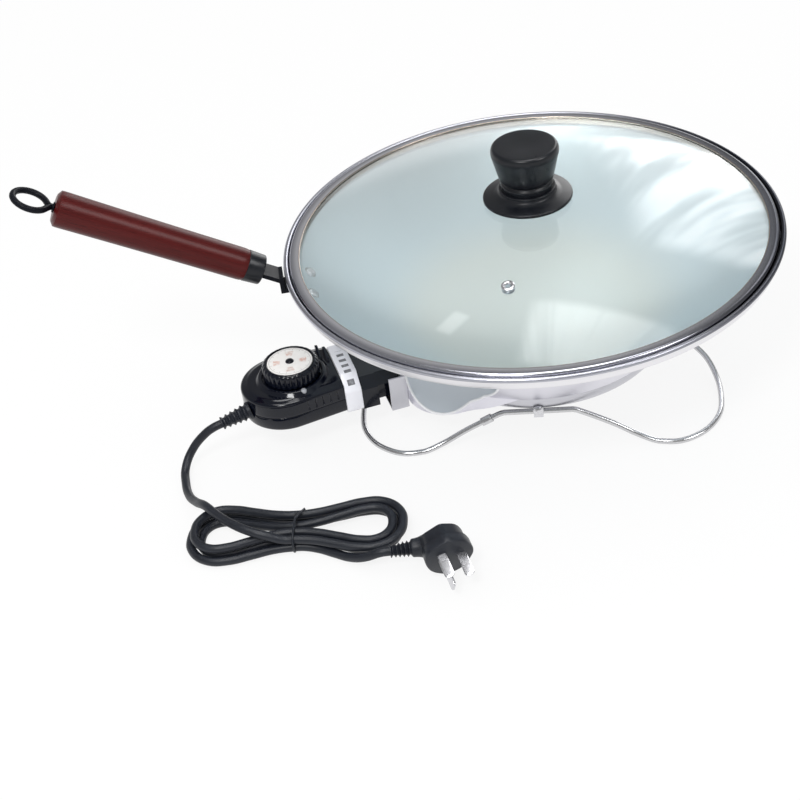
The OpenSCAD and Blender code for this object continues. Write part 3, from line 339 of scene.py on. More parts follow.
relief_line = sleeve_outline(boot_l, 0.0066, 0.0046, 5, 0.10)
strain_relief = skin("strain_relief", set_down(turned(relief_line), boot_root, (0, 1, 0), boot_axis))
dress(strain_relief, "controller", "black_rubber", rubber, "cord_boot")
plug_sleeve_line = sleeve_outline(plug_boot_l, 0.0043, 0.0056, 5, 0.04)
plug_sleeve = skin("plug_sleeve", set_down(turned(plug_sleeve_line), plug_entry, (0, 0, 1), cord_in))
dress(plug_sleeve, "controller", "black_rubber", rubber, "plug_boot")


# PLUG
# A flat right-angle plug of black rubber, moulded in one with its sleeve, leaning forward on its lower edge.
# Three flat plated pins stand out of its face.
plug_tilt = math.radians(12)
plug_at = np.array([-0.1314, -0.1807, 0.018 * math.cos(plug_tilt) + 0.008 * math.sin(plug_tilt) + 0.0002])
plug_axis = np.array([1.0, 0, 0])
plug_out = np.array([0, -math.cos(plug_tilt), -math.sin(plug_tilt)])


def stacked(outline, share, level):
    """An outline scaled by a share at each level, as rings up the Z axis."""
    flat = outline[None] * np.array(share)[:, None, None]
    return np.concatenate([flat, np.broadcast_to(np.array(level)[:, None, None], flat.shape[:2] + (1,))], -1)


kite = rounded([
    (-0.0009, -0.0178, 0.005), (0.0111, -0.0139, 0.005), (0.0178, 0.0004, 0.005), (0.0124, 0.0124, 0.005),
    (0, 0.0178, 0.003), (-0.0144, 0.0101, 0.004), (-0.0154, 0.0005, 0.005), (-0.0119, -0.0100, 0.006),
], 7)
face = 0.0079
kite_depth = [-0.009, -0.009, -0.0088, -0.0082, -0.001, 0.0002, 0.0066, 0.0075, face, face]
kite_share = [0, 0.80, 0.84, 0.865, 0.885, 0.99, 1.0, 0.985, 0.95, 0]
head = stacked(kite, kite_share, kite_depth)
plug_head = skin("plug_head", set_down(head, plug_at, plug_axis, plug_out), crease=60)
dress(plug_head, "controller", "black_rubber", rubber, "plug_body")
neck_line = rounded([
    (0, 0, 0), (0.0059, 0, 0.0006), (0.0062, 0.004, 0.002), (0.0088, 0.011, 0.004), (0.0088, 0.018, 0.004),
    (0, 0.022, 0),
], 6)
plug_neck = skin("plug_neck", set_down(turned(neck_line), plug_boot_at, (0, 0, 1), cord_in), crease=60)
dress(plug_neck, "controller", "black_rubber", rubber, "plug_body")


metal = {"Metallic": 1.0}
bright_steel = finish("bright_plated_steel", clouded(700, 4, "c9c9cc", "e6e6ea", 0.16, 0.14, metal))


def blade(width, thick, length):
    """A flat pin along +Z: a rounded rectangle, drawn in over the last millimetre to a blunt tip."""
    edge = rounded([(-1, -1, 0.3), (1, -1, 0.3), (1, 1, 0.3), (-1, 1, 0.3)], 4) * [width / 2, thick / 2]
    level = [0, 0, length - 0.0016, length - 0.0005, length, length]
    return stacked(edge, [0, 1, 1, 0.8, 0.55, 0], level)


def turn_about_z(points, angle):
    """Points turned about the Z axis by an angle in radians."""
    c, s = math.cos(angle), math.sin(angle)
    return points @ np.array([[c, s, 0], [-s, c, 0], [0, 0, 1]])


pin_w, pin_t = 0.0064, 0.0016
pin_places = [((0.0085, 0.0012), 15, 0.017), ((-0.0032, -0.0034), 75, 0.020), ((-0.0044, 0.0053), 15, 0.017)]
for number, (place, angle, length) in enumerate(pin_places):
    pin = turn_about_z(blade(pin_w, pin_t, length), math.radians(angle)) + np.array([*place, face])
    piece = skin(f"plug_pin_{number}", set_down(pin, plug_at, plug_axis, plug_out))
    dress(piece, "controller", "bright_steel", bright_steel, "plug_pins")


# TIE
# A thin black tie of coated wire, bent by hand once round the hank's waist, with its ends twisted into a
# short tail.
def drawn(path, radius, sides=16, reference=(0, 0, 1), closed=False):
    """A round section carried along a path: each ring stands square to the path's own direction."""
    way = unit(np.gradient(path, axis=0))
    if closed:
        way = unit(np.roll(path, -1, 0) - np.roll(path, 1, 0))
    side = unit(np.cross(way, np.array(reference, float)))
    over = np.cross(side, way)
    a = full_turn(sides)[None, :, None]
    thick = np.broadcast_to(radius, (len(path),))[:, None, None]
    rings = path[:, None] + thick * (np.cos(a) * side[:, None] + np.sin(a) * over[:, None])
    if closed:
        return rings
    tips = [np.broadcast_to(path[k], (1, sides, 3)) for k in (0, -1)]
    return np.concatenate([tips[0], rings, tips[1]])


def smooth(points, steps=8, closed=False):
    """A Catmull-Rom line through given points."""
    p = np.array(points, float)
    wide = np.concatenate([p[-1:], p, p[:2]]) if closed else np.concatenate([p[:1], p, p[-1:]])
    a, b, c, d = wide[:-3, None], wide[1:-2, None], wide[2:-1, None], wide[3:, None]
    t = np.linspace(0, 1, steps, endpoint=False)[None, :, None]
    bend = 2 * b + (c - a) * t + (2 * a - 5 * b + 4 * c - d) * t**2 + (3 * b - a - 3 * c + d) * t**3
    bend = 0.5 * bend.reshape(-1, 3)
    return bend if closed else np.concatenate([bend, p[-1:]])


tie_ring = smooth([
    (0, -0.0172, 0.004), (0, -0.0172, 0.0112), (0, -0.012, 0.0143), (0, 0.006, 0.0142), (0, 0.0102, 0.0112),
    (0, 0.0102, 0.004), (0, 0.005, 0.0011), (0, -0.012, 0.0011),
], 6, True)
tie_tail = smooth([
    (0, 0.002, 0.0146), (0.0015, 0.0045, 0.0152), (0.004, 0.007, 0.0163), (0.0065, 0.0085, 0.0176),
], 8)
for name, path, closed in (("tie_ring", tie_ring, True), ("tie_tail", tie_tail, False)):
    strip = drawn(path, 0.0008, 10, (1, 0, 0) if closed else (0, 0, 1), closed)
    piece = skin(name, set_down(strip, hank_at, hank_axis, (0, 0, 1)), close_rows=closed)
    dress(piece, "controller", "black_tie", rubber, "hank_tie")


# CONTROLLER SHELLS
# Two glossy black mouldings screwed together: a shallow tray, and a hood with narrow slots in both flanks, a
# raised seat round the dial and two small fins behind it.
def glossy(w):
    peel = clouds(w, 420, 2)
    wipe = clouds(w, 45, 4)
    return {
        "Base Color": mixed(w, wipe, "060912", "0b0f1c"),
        "Roughness": 0.08 + 0.06 * wipe,
        "Specular IOR Level": 0.22,
        "Coat Weight": 0.25 + 0.1 * wipe,
        "Coat Roughness": 0.03,
        "Normal": relief(w, peel, 0.02, 0.0006),
    }


black_gloss = finish("glossy_black_moulding", glossy)
dial_x = -0.181
tail_x, tail_r, neck_half, neck_x = -0.188, 0.030, 0.026, -0.151
flank_points, tail_points = 121, 140


def body_plan(inset):
    """Plan of the body drawn in by an inset: a round tail, flanks that lean in to the neck, and a straight
    end. The outline runs round from the tail's front end."""
    lean = math.asin((tail_r - neck_half) / (neck_x - tail_x))
    a = np.linspace(-math.pi / 2 + lean, -3 * math.pi / 2 - lean, tail_points)
    tail = np.stack([tail_x + (tail_r - inset) * np.cos(a), (tail_r - inset) * np.sin(a)], -1)
    t = np.linspace(0, 1, flank_points)[1:-1, None]
    near, far = np.array([neck_x, -neck_half + inset]), np.array([neck_x, neck_half - inset])
    back = tail[-1] + (far - tail[-1]) * t
    front = near + (tail[0] - near) * t
    return np.concatenate([tail, back, [far, near], front])


def slotted(plan, depth):
    """Presses five narrow slots into both flanks of a plan, each a bell-shaped dip inwards."""
    x, y = plan[:, 0], plan[:, 1]
    first, pitch, half_w, flank_y = 0.005, 0.0054, 0.00045, 0.014
    middle = neck_x - first - pitch * np.arange(5)
    dip = np.sum(np.exp(-(((x[:, None] - middle) / half_w) ** 2)), 1) * (np.abs(y) > flank_y)
    return np.stack([x, y - np.sign(y) * depth * dip], -1)


def body_shell(levels):
    """Plans stacked at heights (z, inset), slotted over part of them, closed at the top and underneath."""
    slot_low, slot_high, slot_deep = 0.0369, 0.0437, 0.0006
    rows = []
    for z, inset in levels:
        plan = slotted(body_plan(inset), slot_deep * (slot_low < z < slot_high))
        rows.append(np.column_stack([plan, np.full(len(plan), z)]))
    middle = np.array([dial_x + 0.008, 0, 0])
    ends = [np.broadcast_to(middle + [0, 0, levels[k][0]], rows[0].shape) for k in (0, -1)]
    return np.stack([ends[0], *rows, ends[1]])


tray = [
    (0.024, 0.0030), (0.0241, 0.0020), (0.0245, 0.0011), (0.0253, 0.0004), (0.0266, 0), (0.0345, 0),
    (0.0348, 0.0001), (0.03495, 0.0003),
]
hood = [
    (0.03505, 0.0003), (0.0352, 0.0001), (0.0355, 0), (0.0368, 0), (0.0370, 0), (0.0436, 0), (0.0438, 0),
    (0.0446, 0), (0.0452, 0.0002), (0.0457, 0.0005), (0.0461, 0.0010), (0.0464, 0.0017), (0.0466, 0.0025),
    (0.0474, 0.0046), (0.0477, 0.0052), (0.0478, 0.0060), (0.0478, 0.0080),
]
shells = (("controller_tray", tray, "controller_base"), ("controller_hood", hood, "controller_top"))
for name, levels, node in shells:
    dress(skin(name, body_shell(levels), crease=50), "controller", "black_gloss", black_gloss, node)
ring_line = rounded([
    (0.0206, 0.0470, 0), (0.0264, 0.0470, 0), (0.0234, 0.0499, 0.0006), (0.0214, 0.0501, 0.0006),
    (0.0206, 0.0494, 0.0006),
], 6)
dial_seat = skin("dial_seat", turned(ring_line, 128) + [dial_x, 0, 0], close_rows=True, crease=60)
dress(dial_seat, "controller", "black_gloss", black_gloss, "controller_top")
fin_side = rounded([
    (0, -0.0015, 0), (0.013, -0.0015, 0), (0.0135, 0.0035, 0.001), (0.0115, 0.0042, 0.001),
    (0.001, 0.0006, 0.002),
], 5)
fin_mid = fin_side.mean(0)
fin = stacked(fin_side - fin_mid, [0, 1, 1, 0.93, 0], [0, 0, 0.0016, 0.002, 0.002]) + [*fin_mid, 0]
for number, place in enumerate(((-0.159, 0.008, 0.049), (-0.1545, 0.004, 0.049))):
    piece = skin(f"hood_fin_{number}", fin[..., [2, 0, 1]] + place, crease=50)
    dress(piece, "controller", "black_gloss", black_gloss, "controller_top")


# COLLAR BAND
# A white plastic band clipped round the controller's neck, with slanting top corners. A row of plain grey
# marks is printed across its top, and its front is bare.
def axes_of(w, ways="XYZ", at=None):
    """The named coordinates of a point, or of the place on the object."""
    spot = at or place_of(w)
    return [w.node("SeparateXYZ", {"Vector": spot}, way) for way in ways]


def white_moulding(w):
    shade = clouds(w, 30, 3)
    x, y, z = axes_of(w)
    row = w.calc("PINGPONG", y * 150 + 30.45, 0.5)
    column = (x > -0.1474) * (x < -0.1424)
    marks = (row < 0.23) * column * (y > -0.0245) * (y < 0.009) * (z > 0.042)
    moulded = mixed(w, shade, "efeff6", "f8f8fc")
    return {
        "Base Color": mixed(w, marks * (0.55 + 0.5 * clouds(w, 500, 2)), moulded, "24262c"),
        "Roughness": 0.2 + 0.12 * shade,
        "Normal": relief(w, clouds(w, 600, 2), 0.04, 0.0004),
    }


def hoop(half, low, high, bevel, x0, x1, edge):
    """A rounded section of the neck carried along X between two planes, with eased edges and filled faces."""
    line = rounded([
        (-half, low, 0.003), (half, low, 0.003), (half, high - bevel, 0.0012), (half - bevel, high, 0.0012),
        (-half + bevel, high, 0.0012), (-half, high - bevel, 0.0012),
    ], 7)
    middle = np.array([0, (low + high) / 2])
    eased = edge / half
    share = [0, 1 - eased, 1 - 0.3 * eased, 1, 1, 1 - 0.3 * eased, 1 - eased, 0]
    level = [x0, x0, x0 + edge * 0.3, x0 + edge, x1 - edge, x1 - edge * 0.3, x1, x1]
    return (stacked(line - middle, share, level) + [*middle, 0])[..., [2, 0, 1]]


collar = skin("collar_hoop", hoop(0.0276, 0.0232, 0.051, 0.010, -0.1509, -0.139, 0.0009))
dress(collar, "controller", "white_plastic", finish("glossy_white_moulding", white_moulding), "collar_band")


# DIAL
# A moulded black ring with ribs round its side, pushed onto the thermostat's spindle. A white printed plate
# is let into its top, with a black cap at the centre.
def ribbed_ring():
    """Radius r + e |cos(15 a)|^0.7 round the side, so that thirty ribs stand out, with a share of them at
    each level (radius, height, share) that fades away at the top edge."""
    a = full_turn(480)
    rib = 0.0009 * np.abs(np.cos(15 * a)) ** 0.7
    level = np.array([
        (0, 0, 0), (0.017, 0, 0), (0.0188, 0, 0), (0.0191, 0.0004, 1), (0.0191, 0.0078, 1),
        (0.0187, 0.0092, 0.8), (0.0182, 0.0100, 0.3), (0.0176, 0.0105, 0), (0.0166, 0.0105, 0),
        (0.0163, 0.0103, 0), (0.0162, 0.0096, 0), (0, 0.0096, 0),
    ])
    return polar(level[:, :1] + level[:, 2:] * rib, a, level[:, 1:2])


dial_at = np.array([dial_x, 0, 0.0496])
dial_rim = skin("dial_rim", ribbed_ring() + dial_at)
dress(dial_rim, "dial", "black_gloss", black_gloss, "dial_ring")


def ramped(w, value, start, end, low=0.0, high=1.0, way="SMOOTHSTEP"):
    """A value carried from start and end to low and high, and held beyond them."""
    return w.node("MapRange", {0: value, 1: start, 2: end, 3: low, 4: high}, interpolation_type=way)


def printed_plate(w):
    x, y = axes_of(w, "XY", w.node("Mapping", {"Vector": place_of(w), "Location": (-dial_x, 0, 0)}))
    r = (x * x + y * y) ** 0.5
    turn = w.calc("ARCTAN2", y, x)
    saw = w.calc("PINGPONG", turn * (8 / math.pi) + 40, 0.5)
    fine_ring = (r > 0.0143) * (r < 0.0147)
    ticks = (saw < 0.05) * (r > 0.0128) * (r < 0.0139)
    petals = w.calc("COSINE", turn * 4 + 0.8)
    ink = ramped(w, clouds(w, 420, 3), 0.35, 0.65, 0.1, 0.8, "LINEAR")
    patch = ramped(w, petals, 0.25, 0.8) * ramped(w, r, 0.0062, 0.0074) * (r < 0.0117) * ink
    paper = mixed(w, clouds(w, 260, 3), "f1eeea", "faf8f6")
    warm = mixed(w, clouds(w, 110, 1), "b9a69a", "e2957c")
    inked = mixed(w, patch, paper, warm)
    lined = mixed(w, fine_ring * 0.6, inked, "8f8b8c")
    return {
        "Base Color": mixed(w, ticks * 0.4, lined, "6c6663"),
        "Roughness": 0.3 + 0.1 * clouds(w, 300, 2),
    }


plate_line = rounded([(0, 0.0095, 0), (0.0159, 0.0095, 0), (0.0159, 0.0102, 0.0003), (0, 0.0102, 0)], 4)
dial_plate = skin("dial_plate", turned(plate_line, 96) + dial_at)
dress(dial_plate, "dial", "white_plastic", finish("printed_dial_plate", printed_plate), "dial_face")
cap_line = rounded([
    (0, 0.0098, 0), (0.0030, 0.0098, 0.0002), (0.0030, 0.0106, 0.0006), (0.0022, 0.0113, 0.0010),
    (0, 0.0113, 0),
], 5)
dial_cap = skin("dial_cap", turned(cap_line, 48) + dial_at)
dress(dial_cap, "dial", "black_gloss", black_gloss, "dial_hub")


# PILOT LAMP
# A small frosted lens of plastic, pressed into the front of the dial's seat with the lamp behind it. It is
# dull while the pot is off.
def frosted(w):
    return {
        "Base Color": mixed(w, clouds(w, 500, 2), "8e9096", "b4b6bb"),
        "Roughness": 0.2 + 0.1 * clouds(w, 300, 2),
    }


lamp_angle, lamp_out = math.radians(-83), 0.0232
lamp_at = np.array([dial_x, 0, 0.0498]) + lamp_out * heading(lamp_angle)
lamp_line = rounded([
    (0, -0.004, 0), (0.002, -0.004, 0), (0.002, 0.0003, 0.0006), (0.0009, 0.001, 0.0008), (0, 0.001, 0),
], 6)
lamp = skin("pilot_lamp", turned(lamp_line, 32) + lamp_at)
dress(lamp, "controller", "amber_lens", finish("frosted_lens", frosted), "indicator_lamp")


# WIRE STAND
# One bright steel wire bent into four feet, its ends joined in a sleeve, hooked under the base at the front
# and back by two clips with dome-head screws.
def refinish(material, *nodes):
    """Puts a finish on solids of the frame that stay as they are."""
    for name in nodes:
        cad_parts[name].material_slots[0].material = material


wire_steel = finish("drawn_steel_wire", clouded(900, 3, "b9b9bb", "dedee0", 0.18, 0.1, metal))
wire_r = 0.002
half_x, half_y, saddle_r, saddle_z, pinch_x, pinch_z = 0.126, 0.099, 0.089, 0.02577, 0.098, 0.0204
quarter = np.array([
    (0, -saddle_r, saddle_z), (0.014, -saddle_r, saddle_z), (0.023, -saddle_r, saddle_z),
    (0.031, -saddle_r, saddle_z - 0.0032), (0.050, -saddle_r - 0.002, saddle_z - 0.012),
    (0.066, -half_y + 0.005, 0.0058), (0.080, -half_y + 0.001, wire_r), (0.094, -half_y, wire_r),
    (half_x - 0.019, -half_y + 0.006, wire_r), (half_x - 0.009, -half_y + 0.016, wire_r),
    (half_x - 0.002, -0.068, wire_r), (half_x, -0.048, wire_r), (half_x - 0.0015, -0.031, 0.0035),
    (half_x - 0.007, -0.017, 0.0095), (half_x - 0.017, -0.0075, 0.0165), (pinch_x + 0.002, 0, pinch_z),
])
half = np.concatenate([quarter, quarter[-2:0:-1] * [1, -1, 1]])
ring = smooth(np.concatenate([half, half * [-1, -1, 1]]), 6, True)
ring[:, 2] = np.clip(ring[:, 2], wire_r, saddle_z)
stand_turn = math.radians(-20.5)
ring = turn_about_z(ring, stand_turn)
stand = skin("stand_bend", drawn(ring, wire_r, 16, closed=True), close_rows=True)
dress(stand, "pot", "bright_steel", wire_steel, "stand_wire")
half_way = (9 * quarter[3] + 9 * quarter[4] - quarter[2] - quarter[5]) / 16
sleeve_mid = turn_about_z(np.stack([quarter[3], half_way]) * [-1, 1, 1], stand_turn)
sleeve_way = unit(sleeve_mid[1] - sleeve_mid[0])
sleeve_line = rounded([
    (0.00225, -0.004, 0), (0.003, -0.004, 0.0004), (0.003, 0.004, 0.0004), (0.00225, 0.004, 0),
], 4)
sleeve_grid = set_down(turned(sleeve_line, 40), sleeve_mid.mean(0), (0, 0, 1), sleeve_way)
joint_sleeve = skin("joint_sleeve", sleeve_grid, close_rows=True)
dress(joint_sleeve, "pot", "bright_steel", wire_steel, "wire_sleeve")
refinish(bright_steel, "stand_clips", "stand_screws")


# BASE SHELL
# A polished steel pressing under the bowl: a leaning skirt with a rounded lobe on the left for the terminals,
# and beside the lobe, front and back, a satin dish with a rolled hem, coloured plain white as a painted
# highlight. Its lower edge is folded in against the bottom cover.
dish_at, dish_r, dish_tall = (-0.096, 0.0656, 0.0817), 0.0474, 1.2


def pressed_steel(w):
    x, y, z = axes_of(w)
    aside = w.calc("ABSOLUTE", y)
    flat = (x - dish_at[0]) ** 2 + (aside - dish_at[1]) ** 2 + ((z - dish_at[2]) / dish_tall) ** 2
    dished = flat**0.5 < dish_r + 0.0002
    haze = clouds(w, 14, 3)
    fine = clouds(w, 1200, 2)
    shine = mixed(w, haze, "d9d8e2", "ecebf2")
    return {
        "Base Color": mixed(w, dished, shine, mixed(w, haze, "d9dfe6", "e2e7ec")),
        "Metallic": 1 - 0.85 * dished,
        "Roughness": 0.26 + 0.04 * haze + 0.03 * fine + 0.2 * dished,
    }


bowl_out, bowl_cz, sheet_t = 0.22823, 0.26503, 0.0008
skirt_r, skirt_z, skirt_lean = 0.095, 0.040, math.tan(math.radians(35.5))
lobe_reach, lobe_half, lobe_corner = 0.108, 0.062, 0.030


def lobe_radius(phi):
    """Distance from the axis to the lobe's plan, in a direction phi away from -X: flat end, round corner and
    side."""
    phi = np.abs(phi)
    d = np.stack([np.cos(phi), np.sin(phi)], -1)
    centre = np.array([lobe_reach - lobe_corner, lobe_half - lobe_corner])
    along = d @ centre
    under = np.clip(along**2 - centre @ centre + lobe_corner**2, 0, None)
    corner = along + np.sqrt(under)
    end = lobe_reach / np.clip(d[:, 0], 1e-3, None)
    side = lobe_half / np.clip(d[:, 1], 1e-3, None)
    end_to = math.atan2(centre[1], lobe_reach)
    side_from = math.atan2(lobe_half, centre[0])
    return np.where(phi < end_to, end, np.where(phi < side_from, corner, side)) * (phi < 1.2)


lobe_low, root_x, root_rise = 0.0246, -0.072, math.tan(math.radians(29))


def wall_radius(phi, z):
    """Outside of the base before it is dished: a soft maximum of the leaning skirt and the lobe."""
    cone = skirt_r + (np.maximum(z, skirt_z) - skirt_z) * skirt_lean
    lobe = lobe_radius(phi)
    gap = np.clip((lobe - cone) / 0.004, -1, 1)
    return np.maximum(cone, lobe) + 0.0008 * (1 - np.abs(gap)) ** 2 * (lobe > 0.02)


def base_radius(phi, z):
    """Outside of the base: the wall, or the nearer side of the egg-shaped dish where that cuts into it."""
    away = np.abs(phi) - math.atan2(dish_at[1], -dish_at[0])
    reach = math.hypot(dish_at[0], dish_at[1])
    half = dish_r**2 * np.clip(1 - ((z - dish_at[2]) / (dish_r * dish_tall)) ** 2, 0, 1)
    under = half - (reach * np.sin(away)) ** 2
    near_side = reach * np.cos(away) - np.sqrt(np.clip(under, 0, None))
    return np.minimum(wall_radius(phi, z), np.where((under > 0) & (np.abs(away) < 1), near_side, 1.0))


def base_skin():
    """The base's radius over a grid of directions and heights, from a lower edge that rises beside the lobe
    to an upper edge where the radius meets the bowl's sphere, found by halving."""
    touch = bowl_out + 0.0001
    near = np.linspace(-1.15, 1.15, 401)
    phi = np.concatenate([near, np.linspace(1.15, 2 * math.pi - 1.15, 142)[1:-1]])
    phi = (phi + math.pi) % (2 * math.pi) - math.pi
    low = np.clip(lobe_low + (-root_x - skirt_r * np.cos(phi)) * root_rise, lobe_low, skirt_z)
    bottom, top = low.copy(), np.full_like(phi, 0.1)
    for _ in range(40):
        middle = (bottom + top) / 2
        outside = base_radius(phi, middle) > np.sqrt(touch**2 - (bowl_cz - middle) ** 2)
        bottom, top = np.where(outside, middle, bottom), np.where(outside, top, middle)
    share = np.linspace(0, 1, 64)[:, None] ** 1.6
    fold_z, fold_in = 0.0004, 0.0943
    z = low + fold_z + (top - low - fold_z) * share
    r = base_radius(phi, z)
    z = np.minimum(z, bowl_cz - np.sqrt(touch**2 - r**2))
    edge = base_radius(phi, low + fold_z)
    r = np.vstack([np.minimum(fold_in, edge - 0.0020), edge - 0.0012, edge - 0.0003, r])
    z = np.vstack([low, low, low + 0.0001, z])
    return polar(-r, phi, z)


base = skin("base_pressing", base_skin(), crease=40)
wall = base.modifiers.new("sheet", "SOLIDIFY")
wall.thickness = sheet_t
wall.offset = -1
dress(base, "pot", "polished_steel", finish("pressed_steel", pressed_steel), "base_shell")
# The rolled steel hem is given a plain white, unmetallic colour: a painted highlight.
hem_painted_highlight = finish("rolled_edge_painted_highlight", clouded(120, 3, "f6f6fa", "ffffff", 0.3, 0.1))
hem_phi = np.linspace(0.235, 0.985, 160)
hem_z = np.full_like(hem_phi, 0.035)
for _ in range(40):
    hem_r = wall_radius(hem_phi, hem_z)
    off = np.hypot(hem_r * np.cos(hem_phi) + dish_at[0], hem_r * np.sin(hem_phi) - dish_at[1])
    hem_z = dish_at[2] - dish_r * dish_tall * np.sqrt(np.clip(1 - (off / dish_r) ** 2, 0, 1))
hem_r = wall_radius(hem_phi, hem_z)
hem = polar(-hem_r, hem_phi, hem_z)
hem = hem[np.hypot(hem_r, bowl_cz - hem_z) > bowl_out + 0.0004]
for name, flip in (("front_hem", 1), ("back_hem", -1)):
    piece = skin(name, drawn(hem * [1, flip, 1], 0.0009, 10))
    dress(piece, "pot", "polished_steel", hem_painted_highlight, "base_shell")


# BOTTOM COVER
# A shallow pan of satin sheet steel that closes the base from below, with its wall cut away in front of the
# lobe. One screw at its centre holds it.
def satin(w):
    x, y, z = axes_of(w)
    ring_at = w.node("CombineXYZ", {0: (x * x + y * y) ** 0.5, 1: z})
    lines = clouds(w, 2400, 3, ring_at)
    return {
        "Base Color": mixed(w, lines, "bdbdc3", "d6d6dc"),
        "Metallic": 1.0,
        "Roughness": 0.26 + 0.12 * lines,
        "Normal": relief(w, lines, 0.06, 0.0003),
    }


satin_steel = finish("satin_steel", satin)
cover_r, cover_z, cover_round, cover_top = 0.0938, 0.024, 0.016, 0.042
notch_y, notch_z = 0.074, 0.027


def cover_grid():
    """Section of the pan (flat floor, quarter-round edge, upright wall, and back inside by one sheet) carried
    round the axis, with the wall cut down to a low notch in front of the lobe."""
    angle = full_turn(300)
    bend = np.radians(np.linspace(-90, 0, 24))
    arc = np.stack([np.cos(bend), np.sin(bend)], -1)
    middle = np.array([cover_r - cover_round, cover_z + cover_round])
    hole, bend_in = 0.0025, cover_round - sheet_t
    outer = np.vstack([[hole, cover_z], middle + cover_round * arc, [cover_r, cover_top]])
    inner = np.vstack([[hole, cover_z + sheet_t], middle + bend_in * arc, [cover_r - sheet_t, cover_top]])
    line = np.vstack([outer, inner[::-1]])
    notch = (np.abs(cover_r * np.sin(angle)) < notch_y) & (np.cos(angle) < 0)
    top = np.where(notch, notch_z, cover_top)[None]
    z = np.minimum(line[:, 1:], top)
    size = np.where(np.arange(len(line)) < len(outer), cover_round, bend_in)[:, None]
    over = middle[0] + np.sqrt(np.clip(size**2 - (middle[1] - top) ** 2, 0, None))
    r = np.where(line[:, 1:] > top, over, line[:, :1])
    return polar(r, angle, z)


cover = skin("cover_pan", cover_grid(), close_rows=True)
dress(cover, "pot", "satin_steel", satin_steel, "bottom_cover")
refinish(satin_steel, "socket_guard")
refinish(bright_steel, "cover_screw", "guard_screws", "terminal_pins")


# WOK BOWL
# A bowl of stainless steel, spun in one sheet with fine turning lines, a ledge that carries the lid and a rim
# rolled outwards. The handle's rivets go through its wall.
def spun(w):
    x, y, z = axes_of(w)
    r = (x * x + y * y) ** 0.5
    lines = clouds(w, 1500, 4, w.node("CombineXYZ", {0: r}))
    haze = clouds(w, 9, 3)
    wall = mixed(w, haze, "d3dde3", "dfe7eb")
    # Painted reflection: the middle of the bowl is painted a warmer, lighter grey than the bluer walls.
    sheet = mixed(w, ramped(w, r, 0.115, 0.07), wall, "e3e5e2")
    # Painted shade and highlight on the rolled bead: it is painted darker towards the right front, and its
    # top is painted near white.
    rim = ramped(w, x - 0.2 * y, 0.02, 0.16, way="LINEAR")
    bead = mixed(w, rim, "b4b5be", "2b2e38")
    edge = mixed(w, z > 0.1126, "ecebee", bead)
    return {
        "Base Color": mixed(w, r > 0.1675, sheet, edge),
        "Metallic": 1.0,
        "Roughness": 0.24 + 0.1 * lines + 0.06 * haze,
        "Normal": relief(w, lines, 0.08, 0.0003),
    }


def bowl_line():
    """Section of the bowl: inner sphere from the axis to the mouth, ledge, upright, rolled bead, and back
    down the outer sphere one wall further out."""
    inner, wall_t, mouth, upright, ledge, rim = 0.22703, 0.0012, 0.163, 0.1684, 0.107, 0.115
    bead = 0.0018
    out_a = np.linspace(0, math.asin(mouth / inner), 70)
    inside = np.stack([inner * np.sin(out_a), bowl_cz - inner * np.cos(out_a)], -1)
    step = rounded([(mouth, ledge, 0.0015), (upright, ledge, 0.0016), (upright, rim, 0)], 5)[5:10]
    roll_a = np.radians(np.linspace(180, -75, 26))
    roll = np.array([upright + bead, rim - bead]) + bead * np.stack([np.cos(roll_a), np.sin(roll_a)], -1)
    turn_r, turn_x, low = mouth + 0.0008, upright + wall_t, ledge - wall_t
    under = rounded([(turn_x, rim - 0.004, 0), (turn_x, low, 0.0016), (turn_r, low, 0)], 5)[4:11]
    back_a = np.linspace(math.asin(turn_r / bowl_out), 0, 60)
    outside = np.stack([bowl_out * np.sin(back_a), bowl_cz - bowl_out * np.cos(back_a)], -1)
    return np.concatenate([inside, step, roll, under, outside])


bowl = skin("bowl_wall", turned(bowl_line(), 256), crease=50)
dress(bowl, "pot", "stainless_steel", finish("spun_stainless_steel", spun), "wok_bowl")


# HANDLE
# A turned hardwood grip in dark red lacquer between a black ferrule and a wire hanging eye, drawn up by a rod
# to a black steel bracket that is riveted to the bowl.
grip_az, grip_up, grip_l = math.radians(170), math.radians(30), 0.133
grip_out = heading(grip_az)
grip_axis = heading(grip_az, grip_up)
grip_side = np.cross((0, 0, 1), grip_out)
grip_at = 0.197 * grip_out + np.array([0, 0, 0.12286])


def lacquered(w):
    frame_of_grip = {"Rotation": (0, -grip_up, grip_az), "Location": grip_at.tolist()}
    turn = w.node("Mapping", {"Vector": place_of(w), **frame_of_grip}, vector_type="TEXTURE")
    x, y, z = axes_of(w, at=turn)
    warp = clouds(w, 30, 3, turn)
    along = w.node("CombineXYZ", {0: x * 0.05, 1: y + 0.002 * warp, 2: z + 0.002 * warp})
    grain = clouds(w, 900, 5, along, 0.65)
    pores = clouds(w, 3000, 2, w.node("CombineXYZ", {0: x * 0.03, 1: y, 2: z}))
    figure = clouds(w, 160, 4, along)
    deep = mixed(w, grain, "270607", "501110")
    tone = mixed(w, figure * 0.55, deep, "601817")
    return {
        "Base Color": mixed(w, (pores > 0.62) * 0.5, tone, "240606"),
        "Roughness": 0.3 + 0.07 * grain,
        "Specular IOR Level": 0.17,
        "Coat Weight": 0.03 + 0.05 * figure,
        "Coat Roughness": 0.25,
        "Normal": relief(w, grain, 0.04, 0.0004),
    }


def on_grip(points):
    """Carries points from the grip's own frame, with +Z along it from the ferrule, to the pot's."""
    return set_down(points, grip_at, grip_side, grip_axis)


